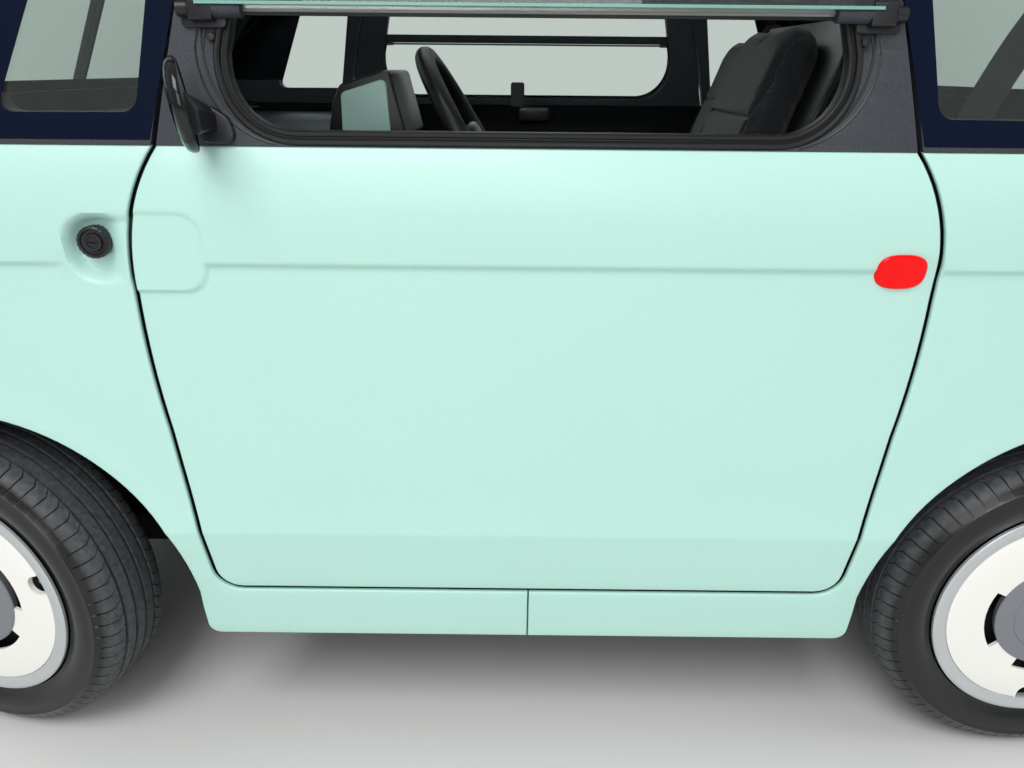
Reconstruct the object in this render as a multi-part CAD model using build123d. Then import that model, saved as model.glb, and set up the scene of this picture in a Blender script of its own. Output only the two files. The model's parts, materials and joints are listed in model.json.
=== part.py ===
"""Two-seat electric microcar with a short boxy body and one door on each side.

The body is the same fore and aft: side panels, doors and end panels repeat by half turns.
The left door is hinged at its rear edge and the right door at its front edge.
Units are millimetres. X points forward, Y to the left and Z up.
The origin is on the ground below the middle of the body.
"""
import os
from math import cos, radians, sin, tan

from build123d import *

os.makedirs("parts", exist_ok=True)

# Overall sizes
LENGTH = 2535.0
WIDTH = 1400.0
HEIGHT = 1530.0
HALF_WIDTH = WIDTH / 2
FRONT_OVERHANG = 381.5
REAR_OVERHANG = 425.5
WHEELBASE = LENGTH - FRONT_OVERHANG - REAR_OVERHANG
FRONT_AXLE_X = LENGTH / 2 - FRONT_OVERHANG
REAR_AXLE_X = FRONT_AXLE_X - WHEELBASE
FRONT_WHEEL_Y = HALF_WIDTH - 103.0
REAR_WHEEL_Y = HALF_WIDTH - 81.0

# Body shell
WALL = 36.0
FRAME_WALL = 30.0
GLASS = 5.0
SHUT_GAP = 7.0
FACE_X = LENGTH / 2 - 12.0
SILL_Z = 208.0
SILL_Y = HALF_WIDTH - 26.5
UNDER_EDGE = 64.0
LOW_CREASE_Z = 416.0
LOW_CREASE_Y = HALF_WIDTH - 1.0
HOLLOW_Z = 640.0
HOLLOW_Y = HALF_WIDTH - 7.5
CREASE_Z = 828.0
CREASE_Y = HALF_WIDTH - 10.0
CREASE_RISE = 8.0
CREASE_STEP = 7.0
SHOULDER_Z = 895.0
BELT_Z = 987.0
BELT_Y = HALF_WIDTH - 20.0
CORNER_START_X = FACE_X - 225.5
CORNER_X = FACE_X - 33.5
CORNER_Y = HALF_WIDTH - 180.0
BONNET_BACK_X = FACE_X - 245.5
BONNET_BACK_Z = BELT_Z - 9.0
BONNET_FRONT_X = FACE_X - 65.5
BONNET_FRONT_Z = 868.0

# Glazed upper body
SCREEN_FOOT_X = BONNET_BACK_X - 6.0
SCREEN_HEAD_X = 564.17
SCREEN_RUN = (SCREEN_FOOT_X - SCREEN_HEAD_X) / (HEIGHT - BELT_Z)
SIDE_RUN = 0.167
PILLAR_R = 66.0
ROOF_R = 7800.0
ROOF_EDGE_R = 40.0
ROOF_EDGE_INNER_R = 20.0
SCREEN_HALF_FOOT = BELT_Y - 72.0
SCREEN_HALF_TOP = BELT_Y - 150.0
SCREEN_BOTTOM_Z = BELT_Z + 9.0
SCREEN_TOP_Z = HEIGHT - 66.0
SCREEN_R = 30.0
PILLAR_TOP_Z = SCREEN_TOP_Z - 69.0
GLASS_LAP = 38.0
ROOF_GLASS_X = 420.0
ROOF_GLASS_Y = BELT_Y - 225.0
QUARTER_LOW_Z = BELT_Z + 6.0
QUARTER_TOP_Z = HEIGHT - 86.0
QUARTER_BORDER = 40.0

# Doors, as half outlines about the middle of the body
DOOR_BOTTOM_Z = 310.0
DOOR_FOOT_X = 488.7
DOOR_LOW_X = 524.0
DOOR_LOW_Z = 585.0
DOOR_WIDE_X = 543.0
DOOR_WIDE_Z = 795.0
DOOR_BELT_X = 494.0
DOOR_TOP_X = 373.0
DOOR_TOP_Z = HEIGHT - 80.0
DOOR_FOOT_R = 38.0
DOOR_TOP_R = 45.0
WINDOW_BOTTOM_Z = BELT_Z + 16.0
WINDOW_TOP_Z = DOOR_TOP_Z - 38.0
WINDOW_HALF = 398.0
WINDOW_TOP_HALF = 330.0
WINDOW_WIDE_Z = BELT_Z + 93.0
WINDOW_LOW_R = 85.0
WINDOW_TOP_R = 45.0
BAR_Z = BELT_Z + 159.0
BAR_HEIGHT = 20.0
FLAP_HALF = 434.0
FLAP_TOP_HALF = 426.0
FLAP_BOTTOM_Z = BELT_Z + 1.0
FLAP_LOW_R = 118.0
FLAP_LIFT = 9.0
BARREL_R = 11.0
BARREL_X = 395.0
BARREL_LENGTH = 50.0
HINGE_X = -524.0
HINGE_Y = HALF_WIDTH - 6.5
HINGE_PIN_R = 2.5

# Wheels
TYRE_R = 272.0
TYRE_W = 155.0
BEAD_IN = 20.0
BELLY_OUT = 42.0
SHOULDER = 12.0
TREAD_FLAT = 40.0
RIM_R = 178.0
RIM_LIP = 17.0
RIM_DEPTH = 14.0
COVER_R = 189.0
COVER_RING = 28.0
CAP_R = 62.0
SLOTS = 5
ARC_SLOT = (CAP_R + 4, 81.0, 46.0)
EDGE_SLOT = (134.0, COVER_R - COVER_RING - 2, 12.0)
SLOT_DEPTH = 12.0
HUB_R = 54.0
HUB_BACK = 30.0
STUB_R = 17.0
STUB_OUT = 50.0
STUB_ROOT = 75.0
TURN_DROP = 0.457
REST_STEER = -15.5

# Arches and steering
ARCH_X = WHEELBASE / 2 + 6.0
ARCH_Z = 268.0
ARCH_R = 345.0
ARCH_FLANK_X = ARCH_X + 328.0
ARCH_DEPTH_Y = HALF_WIDTH - 335.0
LINER = 5.0
KINGPIN_LEAN = 15.0
BALL_Y = FRONT_WHEEL_Y - 27.0
BALL_Z = 185.0
STRUT_R = 18.0
TOWER_R = 55.0
TOWER_LOW_Z = 575.0
TOWER_TOP_Z = 700.0
STRUT_TOP_Z = 555.0
STRUT_FOOT = 60.0
UPRIGHT_W = 38.0
DRUM_R = 86.0
DRUM_W = 34.0
DRUM_IN = 60.0
NECK_R = 8.0
NECK = 22.0
HEEL = 13.0
LINK = 14.0
LINK_HALF = 85.0
BALL_R = 12.0
BALL_GAP = 0.3
RUNNING = 0.05

# Shut line between side panel and end panel, from the ground up to the belt
SPLIT_X = ARCH_X + 235.0
SPLIT_KNEE_Z = 560.0
SPLIT_BROW_X = SPLIT_X - 20.0
SPLIT_BROW_Z = 850.0
SPLIT_MID_X = SPLIT_X - 155.0
SPLIT_MID_Z = 935.0
SPLIT_BELT_X = SPLIT_X - 350.0
PANEL_GAP = 4.0

# Handle recess and lock button on the latch side
RECESS_BACK_X = 500.0
RECESS_X = 630.0
RECESS_Z = 853.0
RECESS_HEIGHT = 100.0
RECESS_DEPTH = 22.0
BUTTON_X = 590.0
BUTTON_Z = 862.0
BUTTON_R = 21.0
PAD_BACK_X = 442.0
PAD_LENGTH = 178.0
PAD_Z = 848.5
PAD_HEIGHT = 113.0
PAD_R = 35.0
PAD_Y = HALF_WIDTH - 4.5
REFLECTOR_X = -505.0
REFLECTOR_Z = 831.0
REFLECTOR_LENGTH = 66.0
REFLECTOR_HEIGHT = 50.0

# Hinges: an arm from the body into the door above, and from the door into the body below
ARM_HALF = 4.0
ARM_HEIGHT = 18.0
ARM_REACH = 56.0
ARM_LEG = 12.0
ARM_FOOT = 78.0
UPPER_HINGE_Z = 872.0
LOWER_HINGE_Z = 428.0
POCKET = 2.0
POCKET_SKIN = 0.4
PIN_OVERHANG = 9.0

# Mirrors
MIRROR_X = 430.0
MIRROR_Y = HALF_WIDTH + 45.0
MIRROR_Z = 1038.0
MIRROR_R = 56.0

# Floor, frame and heavy masses
FLOOR = 8.0
BULKHEAD_X = ARCH_X - 230.0
BULKHEAD_TOP_Z = 900.0
RAIL_Y = ARCH_DEPTH_Y - 35.0
RAIL_W = 50.0
RAIL_H = 60.0
RAIL_FRONT_X = FACE_X - 195.5
RAIL_REAR_X = 245.5 - FACE_X
MEMBERS_X = (RAIL_FRONT_X - 25, ARCH_X - 95, 480.0, -100.0, -480.0, RAIL_REAR_X + 25)
OUTRIGGERS_X = (480.0, -480.0)
MEMBER_W = 50.0
TRAILING_Y = REAR_WHEEL_Y - 144.0
TRAILING_W = 40.0
TRAILING_AHEAD = 267.0
TRAILING_PIVOT_Z = 220.0
AXLE_TUBE_R = 26.0
AXLE_TUBE_AHEAD = 90.0
MOTOR_LENGTH = 210.0
MOTOR_WIDTH = 360.0
MOTOR_HEIGHT = 240.0
BATTERY_FRONT_X = -60.0
BATTERY_LENGTH = 380.0
BATTERY_WIDTH = 560.0
BATTERY_HEIGHT = 168.0

# Cabin
PASSENGER_BACK = 120.0
DASH_REAR_X = 290.0
DASH_TOP_Z = 965.0
DASH_BOTTOM_Z = 780.0
DASH_WALL = 12.0
DASH_HALF = HALF_WIDTH - 60.0
SEAT_Y = 300.0
SEAT_W = 440.0
SEAT_LEAN = 19.5
SEAT_FRONT_X = 90.0
SEAT_HIP_X = -160.0
SEAT_HIP_Z = 500.0
SEAT_KNEE_RISE = 36.0
SEAT_FOOT_X = -100.0
SEAT_FOOT_LENGTH = 260.0
SEAT_FOOT_WIDTH = 300.0
SEAT_SHELL = 12.0
CUSHION = 60.0
BACK_LENGTH = 720.0
WHEEL_HUB_X = 98.0
WHEEL_HUB_Z = 958.0
WHEEL_RIM_R = 165.0
WHEEL_GRIP_R = 15.0
COLUMN_TILT = 30.0
COLUMN_R = 28.0
COLUMN_LENGTH = 330.0
COLUMN_START = 39.3

# Lamps, bumpers and wiper
LAMP_Y = HALF_WIDTH - 230.0
LAMP_Z = 700.0
LAMP_R = 82.0
TAIL_LAMP_R = 52.0
BUMPER_Z = 430.0
BUMPER_HEIGHT = 50.0
BUMPER_HALF = HALF_WIDTH - 220.0
BUMPER_PROUD = 18.1
WIPER_BLADE = 460.0
WIPER_DEPTH = 12.0


def half_outline_section():
    """Half of the lower body's cross-section, from the sill up to the belt."""
    sill = Line((0, SILL_Z), (SILL_Y, SILL_Z))
    tuck = Line(sill @ 1, (LOW_CREASE_Y, LOW_CREASE_Z))
    hollow = ThreePointArc(tuck @ 1, (HOLLOW_Y, HOLLOW_Z), (CREASE_Y, CREASE_Z))
    step = Line(hollow @ 1, (CREASE_Y + CREASE_STEP, CREASE_Z + CREASE_RISE))
    shoulder = ThreePointArc(step @ 1, (WIDTH / 2 - 1.2, SHOULDER_Z), (BELT_Y, BELT_Z))
    top = Line(shoulder @ 1, (BELT_Y - 10, BELT_Z + 60))
    Line(top @ 1, (0, BELT_Z + 60))


def half_outline_profile():
    """Half of the lower body's side profile, from the underside over nose and bonnet."""
    under = Line((0, SILL_Z), (FACE_X - 76, SILL_Z))
    lip = ThreePointArc(under @ 1, (FACE_X - 34, SILL_Z + 14), (FACE_X - 14, SILL_Z + 54))
    face = Line(lip @ 1, (FACE_X, 560))
    brow = ThreePointArc(face @ 1, (FACE_X - 13, 750), (BONNET_FRONT_X, BONNET_FRONT_Z))
    bonnet = TangentArc(brow @ 1, (BONNET_BACK_X, BONNET_BACK_Z), tangent=brow % 1)
    cowl = Line(bonnet @ 1, (BONNET_BACK_X, BELT_Z + 60))
    Line(cowl @ 1, (0, BELT_Z + 60))


def inset(sketch, amount):
    """The sketch made smaller by a wall."""
    return offset(sketch, amount=-amount) if amount else sketch


def lower_body(wall=0.0):
    """The solid inside the lower body's outer skin, or inside a wall of a given thickness."""
    with BuildSketch(Plane.YZ) as section:
        with BuildLine():
            half_outline_section()
            mirror(about=Plane.YZ)
        make_face()
    with BuildSketch(Plane.XZ) as profile:
        with BuildLine():
            half_outline_profile()
            mirror(about=Plane.YZ)
        make_face()
    with BuildSketch(Plane.XY) as plan:
        with BuildLine():
            side = Line((0, WIDTH / 2 + 4), (CORNER_START_X, WIDTH / 2 + 4))
            corner = TangentArc(side @ 1, (CORNER_X, CORNER_Y), tangent=side % 1)
            ThreePointArc(corner @ 1, (FACE_X - 12, CORNER_Y - 220), (FACE_X, 0))
            mirror(about=Plane.XZ)
            mirror(about=Plane.YZ)
        make_face()
    body = extrude(inset(section.sketch, wall), amount=LENGTH, both=True)
    body &= extrude(inset(profile.sketch, wall), amount=WIDTH, both=True)
    return body & extrude(inset(plan.sketch, wall), amount=HEIGHT)


def screen_x(z, wall=0.0):
    """Half length of the glazed body at a height."""
    return SCREEN_FOOT_X - (z - BELT_Z) * SCREEN_RUN - wall * 1.25


def side_y(z, wall=0.0):
    """Half width of the glazed body at a height."""
    return BELT_Y - (z - BELT_Z) * SIDE_RUN - wall


def upper_body(wall=0.0, edge_r=ROOF_EDGE_R):
    """The glazed upper body: a tapering rounded box under a shallow dome."""
    low, high = BELT_Z - 50, HEIGHT + 40
    rings = []
    for z in (low, high):
        ring = RectangleRounded(2 * screen_x(z, wall), 2 * side_y(z, wall), PILLAR_R - 0.8 * wall)
        rings.append(Plane.XY.offset(z) * ring)
    body = loft(rings, ruled=True) & Pos(0, 0, HEIGHT - ROOF_R) * Sphere(ROOF_R - wall)
    rim = [edge for edge in body.edges() if edge.center().Z > DOOR_TOP_Z - 30]
    return fillet(rim, edge_r)


def quarter_outline(border, low_border):
    """The quarter glass's corners, or those of the hole behind it, between door and screen."""
    low, high = QUARTER_LOW_Z + low_border, QUARTER_TOP_Z - border
    back_low, back_high = DOOR_BELT_X - 24 + 2.15 * border, DOOR_TOP_X - 1 + 1.9 * border
    return ((back_low, low), (screen_x(QUARTER_LOW_Z) - 71 - 1.3 * border, low),
            (screen_x(high) - 68 - 0.3 * border, high), (back_high, high))


def slab(low, high, half=2000.0):
    """Everything between two heights."""
    return Pos(0, 0, (low + high) / 2) * Box(half * 2, half * 2, high - low)


def side_prism(points, radii=0.0, depth=1000.0):
    """A prism along Y with a polygonal X-Z outline and rounded corners."""
    with BuildSketch(Plane.XZ) as sketch:
        with BuildLine():
            Polyline(*points, close=True)
        make_face()
        if radii:
            fillet(sketch.vertices(), radii)
    return extrude(sketch.sketch, amount=depth, both=True)


def left_half():
    return Pos(0, 1000, 0) * Box(4000, 2000, 4000)


def door_prism(grow=0.0):
    """The door's outline, or that of its opening with the shut gap added."""
    with BuildSketch(Plane.XZ) as sketch:
        with BuildLine():
            foot = Line((0, DOOR_BOTTOM_Z), (DOOR_FOOT_X, DOOR_BOTTOM_Z))
            low = Line(foot @ 1, (DOOR_LOW_X, DOOR_LOW_Z))
            wide = ThreePointArc(low @ 1, (DOOR_WIDE_X - 5, 690), (DOOR_WIDE_X, DOOR_WIDE_Z))
            belt = ThreePointArc(wide @ 1, (DOOR_WIDE_X - 10, 896), (DOOR_BELT_X, BELT_Z))
            frame = ThreePointArc(belt @ 1, (440, (BELT_Z + DOOR_TOP_Z) / 2 + 1.5), (DOOR_TOP_X, DOOR_TOP_Z))
            Line(frame @ 1, (0, DOOR_TOP_Z))
            mirror(about=Plane.YZ)
        make_face()
        feet = [v for v in sketch.vertices() if abs(v.Y - DOOR_BOTTOM_Z) < 1 and abs(v.X) > 1]
        tops = [v for v in sketch.vertices() if abs(v.Y - DOOR_TOP_Z) < 1 and abs(v.X) > 1]
        fillet(feet, DOOR_FOOT_R)
        fillet(tops, DOOR_TOP_R)
    outline = offset(sketch.sketch, amount=grow) if grow else sketch.sketch
    return extrude(outline, amount=1000, both=True)


def window_prism(grow=0.0, bottom=WINDOW_BOTTOM_Z, top=WINDOW_TOP_Z):
    """The door window's outline, wider at the foot, with large lower corners."""
    with BuildSketch(Plane.XZ) as sketch:
        with BuildLine():
            foot = Line((0, bottom), (WINDOW_HALF, bottom))
            wide = Line(foot @ 1, (WINDOW_HALF, WINDOW_WIDE_Z + 20))
            lean = Line(wide @ 1, (WINDOW_TOP_HALF, top))
            Line(lean @ 1, (0, top))
            mirror(about=Plane.YZ)
        make_face()
        feet = [v for v in sketch.vertices() if abs(v.Y - bottom) < 1 and abs(v.X) > 1]
        tops = [v for v in sketch.vertices() if abs(v.Y - top) < 1 and abs(v.X) > 1]
        fillet(feet, WINDOW_LOW_R)
        fillet(tops, WINDOW_TOP_R)
    outline = offset(sketch.sketch, amount=grow) if grow else sketch.sketch
    return extrude(outline, amount=1000, both=True)


def arch_cuts():
    """The four wheel openings, each with straight flanks below the arc."""
    flanks = ((ARCH_X - 353, 150), (ARCH_X - 341, 290), (ARCH_FLANK_X, 290), (ARCH_FLANK_X, 150))
    width = WIDTH / 2 + 50 - ARCH_DEPTH_Y
    cuts = []
    for end in (1, -1):
        flank = side_prism([(end * x, z) for x, z in flanks])
        arc = Pos(end * ARCH_X, 0, ARCH_Z) * Rot(90, 0, 0) * Cylinder(ARCH_R, 2000)
        arc &= Pos(end * (ARCH_FLANK_X - 500), 0, 0) * Box(1000, 2000, 2000)
        for side in (1, -1):
            band = Pos(0, side * (ARCH_DEPTH_Y + width / 2), 0) * Box(3000, width, 3000)
            cuts.append((flank + arc) & band)
    return cuts


def turned(shape):
    """The same piece turned half a turn about the vertical middle line."""
    return Rot(0, 0, 180) * shape


def save(node, shape):
    shape.label = node
    export_step(shape, f"parts/{node}.step")


lower_outer = lower_body()
lower_inner = lower_body(WALL)
upper_outer = upper_body()
upper_inner = upper_body(FRAME_WALL, ROOF_EDGE_INNER_R)
arches = arch_cuts()

lower_shell = (lower_outer - lower_inner) & slab(0, BELT_Z)
lower_shell -= Pos(0, 0, SILL_Z) * Box(3000, 2 * (SILL_Y - UNDER_EDGE), 80)
for arch in arches:
    lower_shell -= arch
upper_shell = (upper_outer - upper_inner) & slab(BELT_Z, HEIGHT + 1)


def behind_split(gap):
    """Everything in front of the shut line between side panel and end panel."""
    with BuildSketch(Plane.XZ) as sketch:
        with BuildLine():
            lower = Line((SPLIT_X + gap, 100), (SPLIT_X + gap, SPLIT_KNEE_Z))
            upper = Line(lower @ 1, (SPLIT_BROW_X + gap, SPLIT_BROW_Z + gap))
            brow = ThreePointArc(upper @ 1, (SPLIT_MID_X, SPLIT_MID_Z + gap), (SPLIT_BELT_X, BELT_Z + gap))
            Polyline(brow @ 1, (SPLIT_BELT_X, HEIGHT), (LENGTH, HEIGHT), (LENGTH, 100), lower @ 0)
        make_face()
    return extrude(sketch.sketch, amount=1000, both=True)


# End panels: the face, its corners and the bonnet, up to the split from the side panels
lamp_hole = Pos(FACE_X, LAMP_Y, LAMP_Z) * Rot(0, 90, 0) * Cylinder(LAMP_R, 200)
end_panel = lower_shell & behind_split(PANEL_GAP)
nose = end_panel - lamp_hole - mirror(lamp_hole, about=Plane.XZ)
save("nose_panel", nose)
tail_hole = Pos(FACE_X, LAMP_Y, LAMP_Z) * Rot(0, 90, 0) * Cylinder(TAIL_LAMP_R, 200)
tail = turned(end_panel - tail_hole - mirror(tail_hole, about=Plane.XZ))
save("tail_panel", tail)


def hinge_arm(z):
    """A swan-neck arm: an eye and pin at the hinge line, a leg inwards and a foot towards the rear."""
    eye = Pos(HINGE_X, HINGE_Y, z) * Cylinder(ARM_HALF, ARM_HEIGHT)
    pin = Pos(HINGE_X, HINGE_Y, z) * Cylinder(HINGE_PIN_R, ARM_HEIGHT + 2 * PIN_OVERHANG)
    leg = Pos(HINGE_X, HINGE_Y - ARM_REACH / 2, z) * Box(2 * ARM_HALF, ARM_REACH, ARM_HEIGHT)
    return eye + pin + leg


def hinge_foot(z, way):
    """The part of the arm that lies along the inside of the panel that carries it."""
    y = HINGE_Y - ARM_REACH
    bar = Pos(HINGE_X + way * (ARM_FOOT / 2 - ARM_HALF), y + ARM_LEG / 2, z)
    pad = Pos(HINGE_X + way * (ARM_FOOT - 2 * ARM_HALF - 15), y + 20, z)
    return bar * Box(ARM_FOOT, ARM_LEG, ARM_HEIGHT) + pad * Box(30, 40, ARM_HEIGHT)


def hinge_bore(z):
    """The bore for the pin above and below the arm."""
    length = ARM_HEIGHT + 2 * PIN_OVERHANG + 1
    return Pos(HINGE_X, HINGE_Y, z) * Cylinder(HINGE_PIN_R + RUNNING, length)


def arm_pocket(z, back, front):
    """Room for an arm, from the hinge line inwards."""
    depth = ARM_REACH + ARM_HALF + POCKET_SKIN
    y = HINGE_Y + ARM_HALF + POCKET_SKIN - depth / 2
    return Pos((back + front) / 2, y, z) * Box(front - back, depth, ARM_HEIGHT + 2 * POCKET)


# Side panels: front left carries the lock, rear left carries the door's hinges
side = lower_shell & left_half() & (Pos(1000, 0, 0) * Box(1998, 4000, 4000))
side -= door_prism(SHUT_GAP)
side -= behind_split(0)
with BuildSketch(Plane.XZ) as cup:
    with Locations(((RECESS_BACK_X + RECESS_X) / 2, RECESS_Z)):
        RectangleRounded(RECESS_X - RECESS_BACK_X, RECESS_HEIGHT, RECESS_HEIGHT / 2 - 4)
recess = Pos(0, WIDTH / 2 + 10, 0) * extrude(cup.sketch, amount=RECESS_DEPTH + 10)
latch_side = side - recess
save("side_front_left", latch_side)
save("side_rear_right", turned(latch_side))
hinge_side = mirror(side, about=Plane.YZ)
upper_arm = hinge_arm(UPPER_HINGE_Z) + hinge_foot(UPPER_HINGE_Z, -1) - hinge_side
hinge_side -= arm_pocket(LOWER_HINGE_Z, HINGE_X - ARM_HALF - 2, HINGE_X + 40) + hinge_bore(LOWER_HINGE_Z)
save("side_rear_left", hinge_side)
save("side_front_right", turned(hinge_side))
button = Pos(BUTTON_X, WIDTH / 2 - RECESS_DEPTH + 9, BUTTON_Z) * Rot(90, 0, 0) * Cylinder(BUTTON_R, 18)
button -= latch_side
save("lock_buttons", Compound(children=[button, turned(button)]))
save("body_hinges", Compound(children=[upper_arm, turned(upper_arm)]))

# Doors, with a flat handle pad that stands proud below and lies deeper above
door_skin = lower_shell & door_prism() & left_half()
with BuildSketch(Plane.XZ) as pad_sketch:
    with Locations((PAD_BACK_X + PAD_LENGTH / 2, PAD_Z)):
        RectangleRounded(PAD_LENGTH, PAD_HEIGHT, PAD_R)
door_skin -= Pos(0, PAD_Y + WALL, 0) * extrude(pad_sketch.sketch, amount=WALL)
door_skin += (Pos(0, PAD_Y, 0) * extrude(pad_sketch.sketch, amount=WALL / 2)) & door_prism()
lower_arm = hinge_arm(LOWER_HINGE_Z) + hinge_foot(LOWER_HINGE_Z, 1) - door_skin
door_skin -= arm_pocket(UPPER_HINGE_Z, HINGE_X - 60, HINGE_X + ARM_HALF + 2) + hinge_bore(UPPER_HINGE_Z)
save("door_left_panel", door_skin)
save("door_right_panel", turned(door_skin))
save("door_left_hinge", lower_arm)
save("door_right_hinge", turned(lower_arm))


def flap_prism():
    """The outline of the lower pane, which flips up."""
    with BuildSketch(Plane.XZ) as sketch:
        with BuildLine():
            foot = Line((0, FLAP_BOTTOM_Z), (FLAP_HALF, FLAP_BOTTOM_Z))
            edge = Line(foot @ 1, (FLAP_TOP_HALF, BAR_Z - 2))
            Line(edge @ 1, (0, BAR_Z - 2))
            mirror(about=Plane.YZ)
        make_face()
        feet = [v for v in sketch.vertices() if abs(v.Y - FLAP_BOTTOM_Z) < 1 and abs(v.X) > 1]
        fillet(feet, FLAP_LOW_R)
    return extrude(sketch.sketch, amount=1000, both=True)


glass_skin = upper_outer - upper_body(GLASS, ROOF_EDGE_R - GLASS)
flap_plate = glass_skin & flap_prism() & left_half()
frame = (upper_shell & door_prism() & left_half()) - window_prism()
bar = (upper_outer - upper_body(18, ROOF_EDGE_INNER_R)) & slab(BAR_Z, BAR_Z + BAR_HEIGHT)
bar &= window_prism() & left_half()
frame = frame - flap_plate + bar
pivot_y, pivot_z = side_y(BAR_Z + 4) + FLAP_LIFT, BAR_Z + 4
flap_up = flap_plate.rotate(Axis((0, pivot_y, pivot_z), (1, 0, 0)), 180)
barrels = [Pos(x, pivot_y, pivot_z) * Rot(0, 90, 0) * Cylinder(BARREL_R, BARREL_LENGTH)
           for x in (BARREL_X, -BARREL_X)]
frame += barrels
frame_shut = turned(frame - flap_plate)
save("door_left_frame", frame - flap_up)
save("door_right_frame", frame_shut)
pane_zone = upper_body(9, ROOF_EDGE_INNER_R) - upper_body(9 + GLASS, ROOF_EDGE_INNER_R)
pane = pane_zone & window_prism() & slab(BAR_Z + BAR_HEIGHT, HEIGHT) & left_half()
save("door_left_pane", pane)
save("door_right_pane", turned(pane))
save("door_left_flap", flap_up)
save("door_right_flap", turned(flap_plate))

with BuildSketch(Plane.XZ) as oval:
    with Locations((REFLECTOR_X, REFLECTOR_Z)):
        Ellipse(REFLECTOR_LENGTH / 2, REFLECTOR_HEIGHT / 2)
reflector = Pos(0, CREASE_Y + CREASE_STEP + 6, 0) * extrude(oval.sketch, amount=30)
save("door_left_reflector", reflector - lower_outer)


def mirror_head(side_sign):
    """A thin round mirror on a short bracket at the front corner of a door's frame."""
    head = Pos(MIRROR_X, MIRROR_Y, MIRROR_Z) * Rot(0, 78, 0) * Cylinder(MIRROR_R, 16)
    head = fillet(head.edges(), 6)
    arm_y = side_y(MIRROR_Z) - FRAME_WALL / 2
    arm = Pos(MIRROR_X + 12, (arm_y + MIRROR_Y) / 2, MIRROR_Z - 11) * Box(22, MIRROR_Y - arm_y, 38)
    shape = head + arm
    if side_sign < 0:
        return mirror(shape, about=Plane.XZ) - frame_shut
    return shape - frame


save("door_left_mirror", mirror_head(1))
save("door_right_mirror", mirror_head(-1))


# Fixed glazing and the frame around it
def screen_prism(grow=0.0):
    """The windscreen's outline seen from the front, as a prism along X ahead of the middle."""
    points = ((SCREEN_HALF_FOOT, SCREEN_BOTTOM_Z), (SCREEN_HALF_TOP, SCREEN_TOP_Z))
    ring = [points[0], points[1], (-points[1][0], points[1][1]), (-points[0][0], points[0][1])]
    with BuildSketch(Plane.YZ) as sketch:
        with BuildLine():
            Polyline(*ring, close=True)
        make_face()
        fillet(sketch.vertices(), SCREEN_R)
    outline = offset(sketch.sketch, amount=grow) if grow else sketch.sketch
    return extrude(outline, amount=LENGTH)


def quarter_prism(points):
    return side_prism(points, 22) - door_prism(SHUT_GAP + 1.5)


screen = glass_skin & screen_prism()
quarter = glass_skin & left_half() & quarter_prism(quarter_outline(0, 0))
with BuildSketch(Plane.XY) as roof_sketch:
    RectangleRounded(2 * ROOF_GLASS_X, 2 * ROOF_GLASS_Y, 50)
roof_pane = glass_skin & extrude(roof_sketch.sketch, amount=HEIGHT + 100) & slab(HEIGHT - 60, HEIGHT + 10)
save("screens", Compound(children=[screen, turned(screen)]))
quarter_right = mirror(quarter, about=Plane.XZ)
quarters = [quarter, turned(quarter), quarter_right, turned(quarter_right)]
save("quarter_glasses", Compound(children=quarters))
save("roof_glass", roof_pane)

frame_zone = upper_shell - door_prism(SHUT_GAP)
quarter_hole = side_prism(quarter_outline(QUARTER_BORDER, QUARTER_BORDER + 13), 24)
pillars = frame_zone & slab(0, PILLAR_TOP_Z) & (Pos(1000, 0, 0) * Box(1998, 4000, 4000))
pillars -= screen_prism(-GLASS_LAP) + quarter_hole
roof_frame = frame_zone & slab(PILLAR_TOP_Z, 2000)
roof_frame -= extrude(offset(roof_sketch.sketch, amount=-GLASS_LAP), amount=HEIGHT + 100)
for hole in (screen_prism(-GLASS_LAP), quarter_hole):
    roof_frame -= hole + turned(hole)
for piece in (screen, quarter, quarter_right):
    pillars -= piece
    roof_frame -= piece + turned(piece)
save("front_pillars", pillars)
save("rear_pillars", turned(pillars))
save("roof_frame", roof_frame - roof_pane)

# Arch liners, floor and bulkheads
liners = []
for end in (1, -1):
    for sign in (1, -1):
        tunnel_w = WIDTH / 2 - ARCH_DEPTH_Y
        drum = Pos(end * ARCH_X, sign * (ARCH_DEPTH_Y + tunnel_w / 2), ARCH_Z) * Rot(90, 0, 0)
        liner = drum * Cylinder(ARCH_R + LINER, tunnel_w) - drum * Cylinder(ARCH_R, tunnel_w)
        wall = Pos(end * ARCH_X, sign * (ARCH_DEPTH_Y + LINER / 2), ARCH_Z) * Rot(90, 0, 0)
        liner += wall * Cylinder(ARCH_R + LINER, LINER) & slab(ARCH_Z + 130, 2000)
        liner &= slab(SILL_Z + WALL + FLOOR, 2000)
        liner &= lower_inner
        liners.append(liner)


def steering_line(z):
    """The Y of the left steering axis at a height."""
    return BALL_Y - (z - BALL_Z) * tan(radians(KINGPIN_LEAN))


def on_steering_line(z):
    """A location on the left steering axis, with its Z along the axis."""
    return Pos(FRONT_AXLE_X, steering_line(z), z) * Rot(KINGPIN_LEAN, 0, 0)


tower = on_steering_line((TOWER_LOW_Z + TOWER_TOP_Z) / 2) * Cylinder(TOWER_R, TOWER_TOP_Z - TOWER_LOW_Z)
towers = [tower, mirror(tower, about=Plane.XZ)]
for piece in towers:
    liners = [liner - piece for liner in liners]
save("arch_liners", Compound(children=liners))

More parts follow.
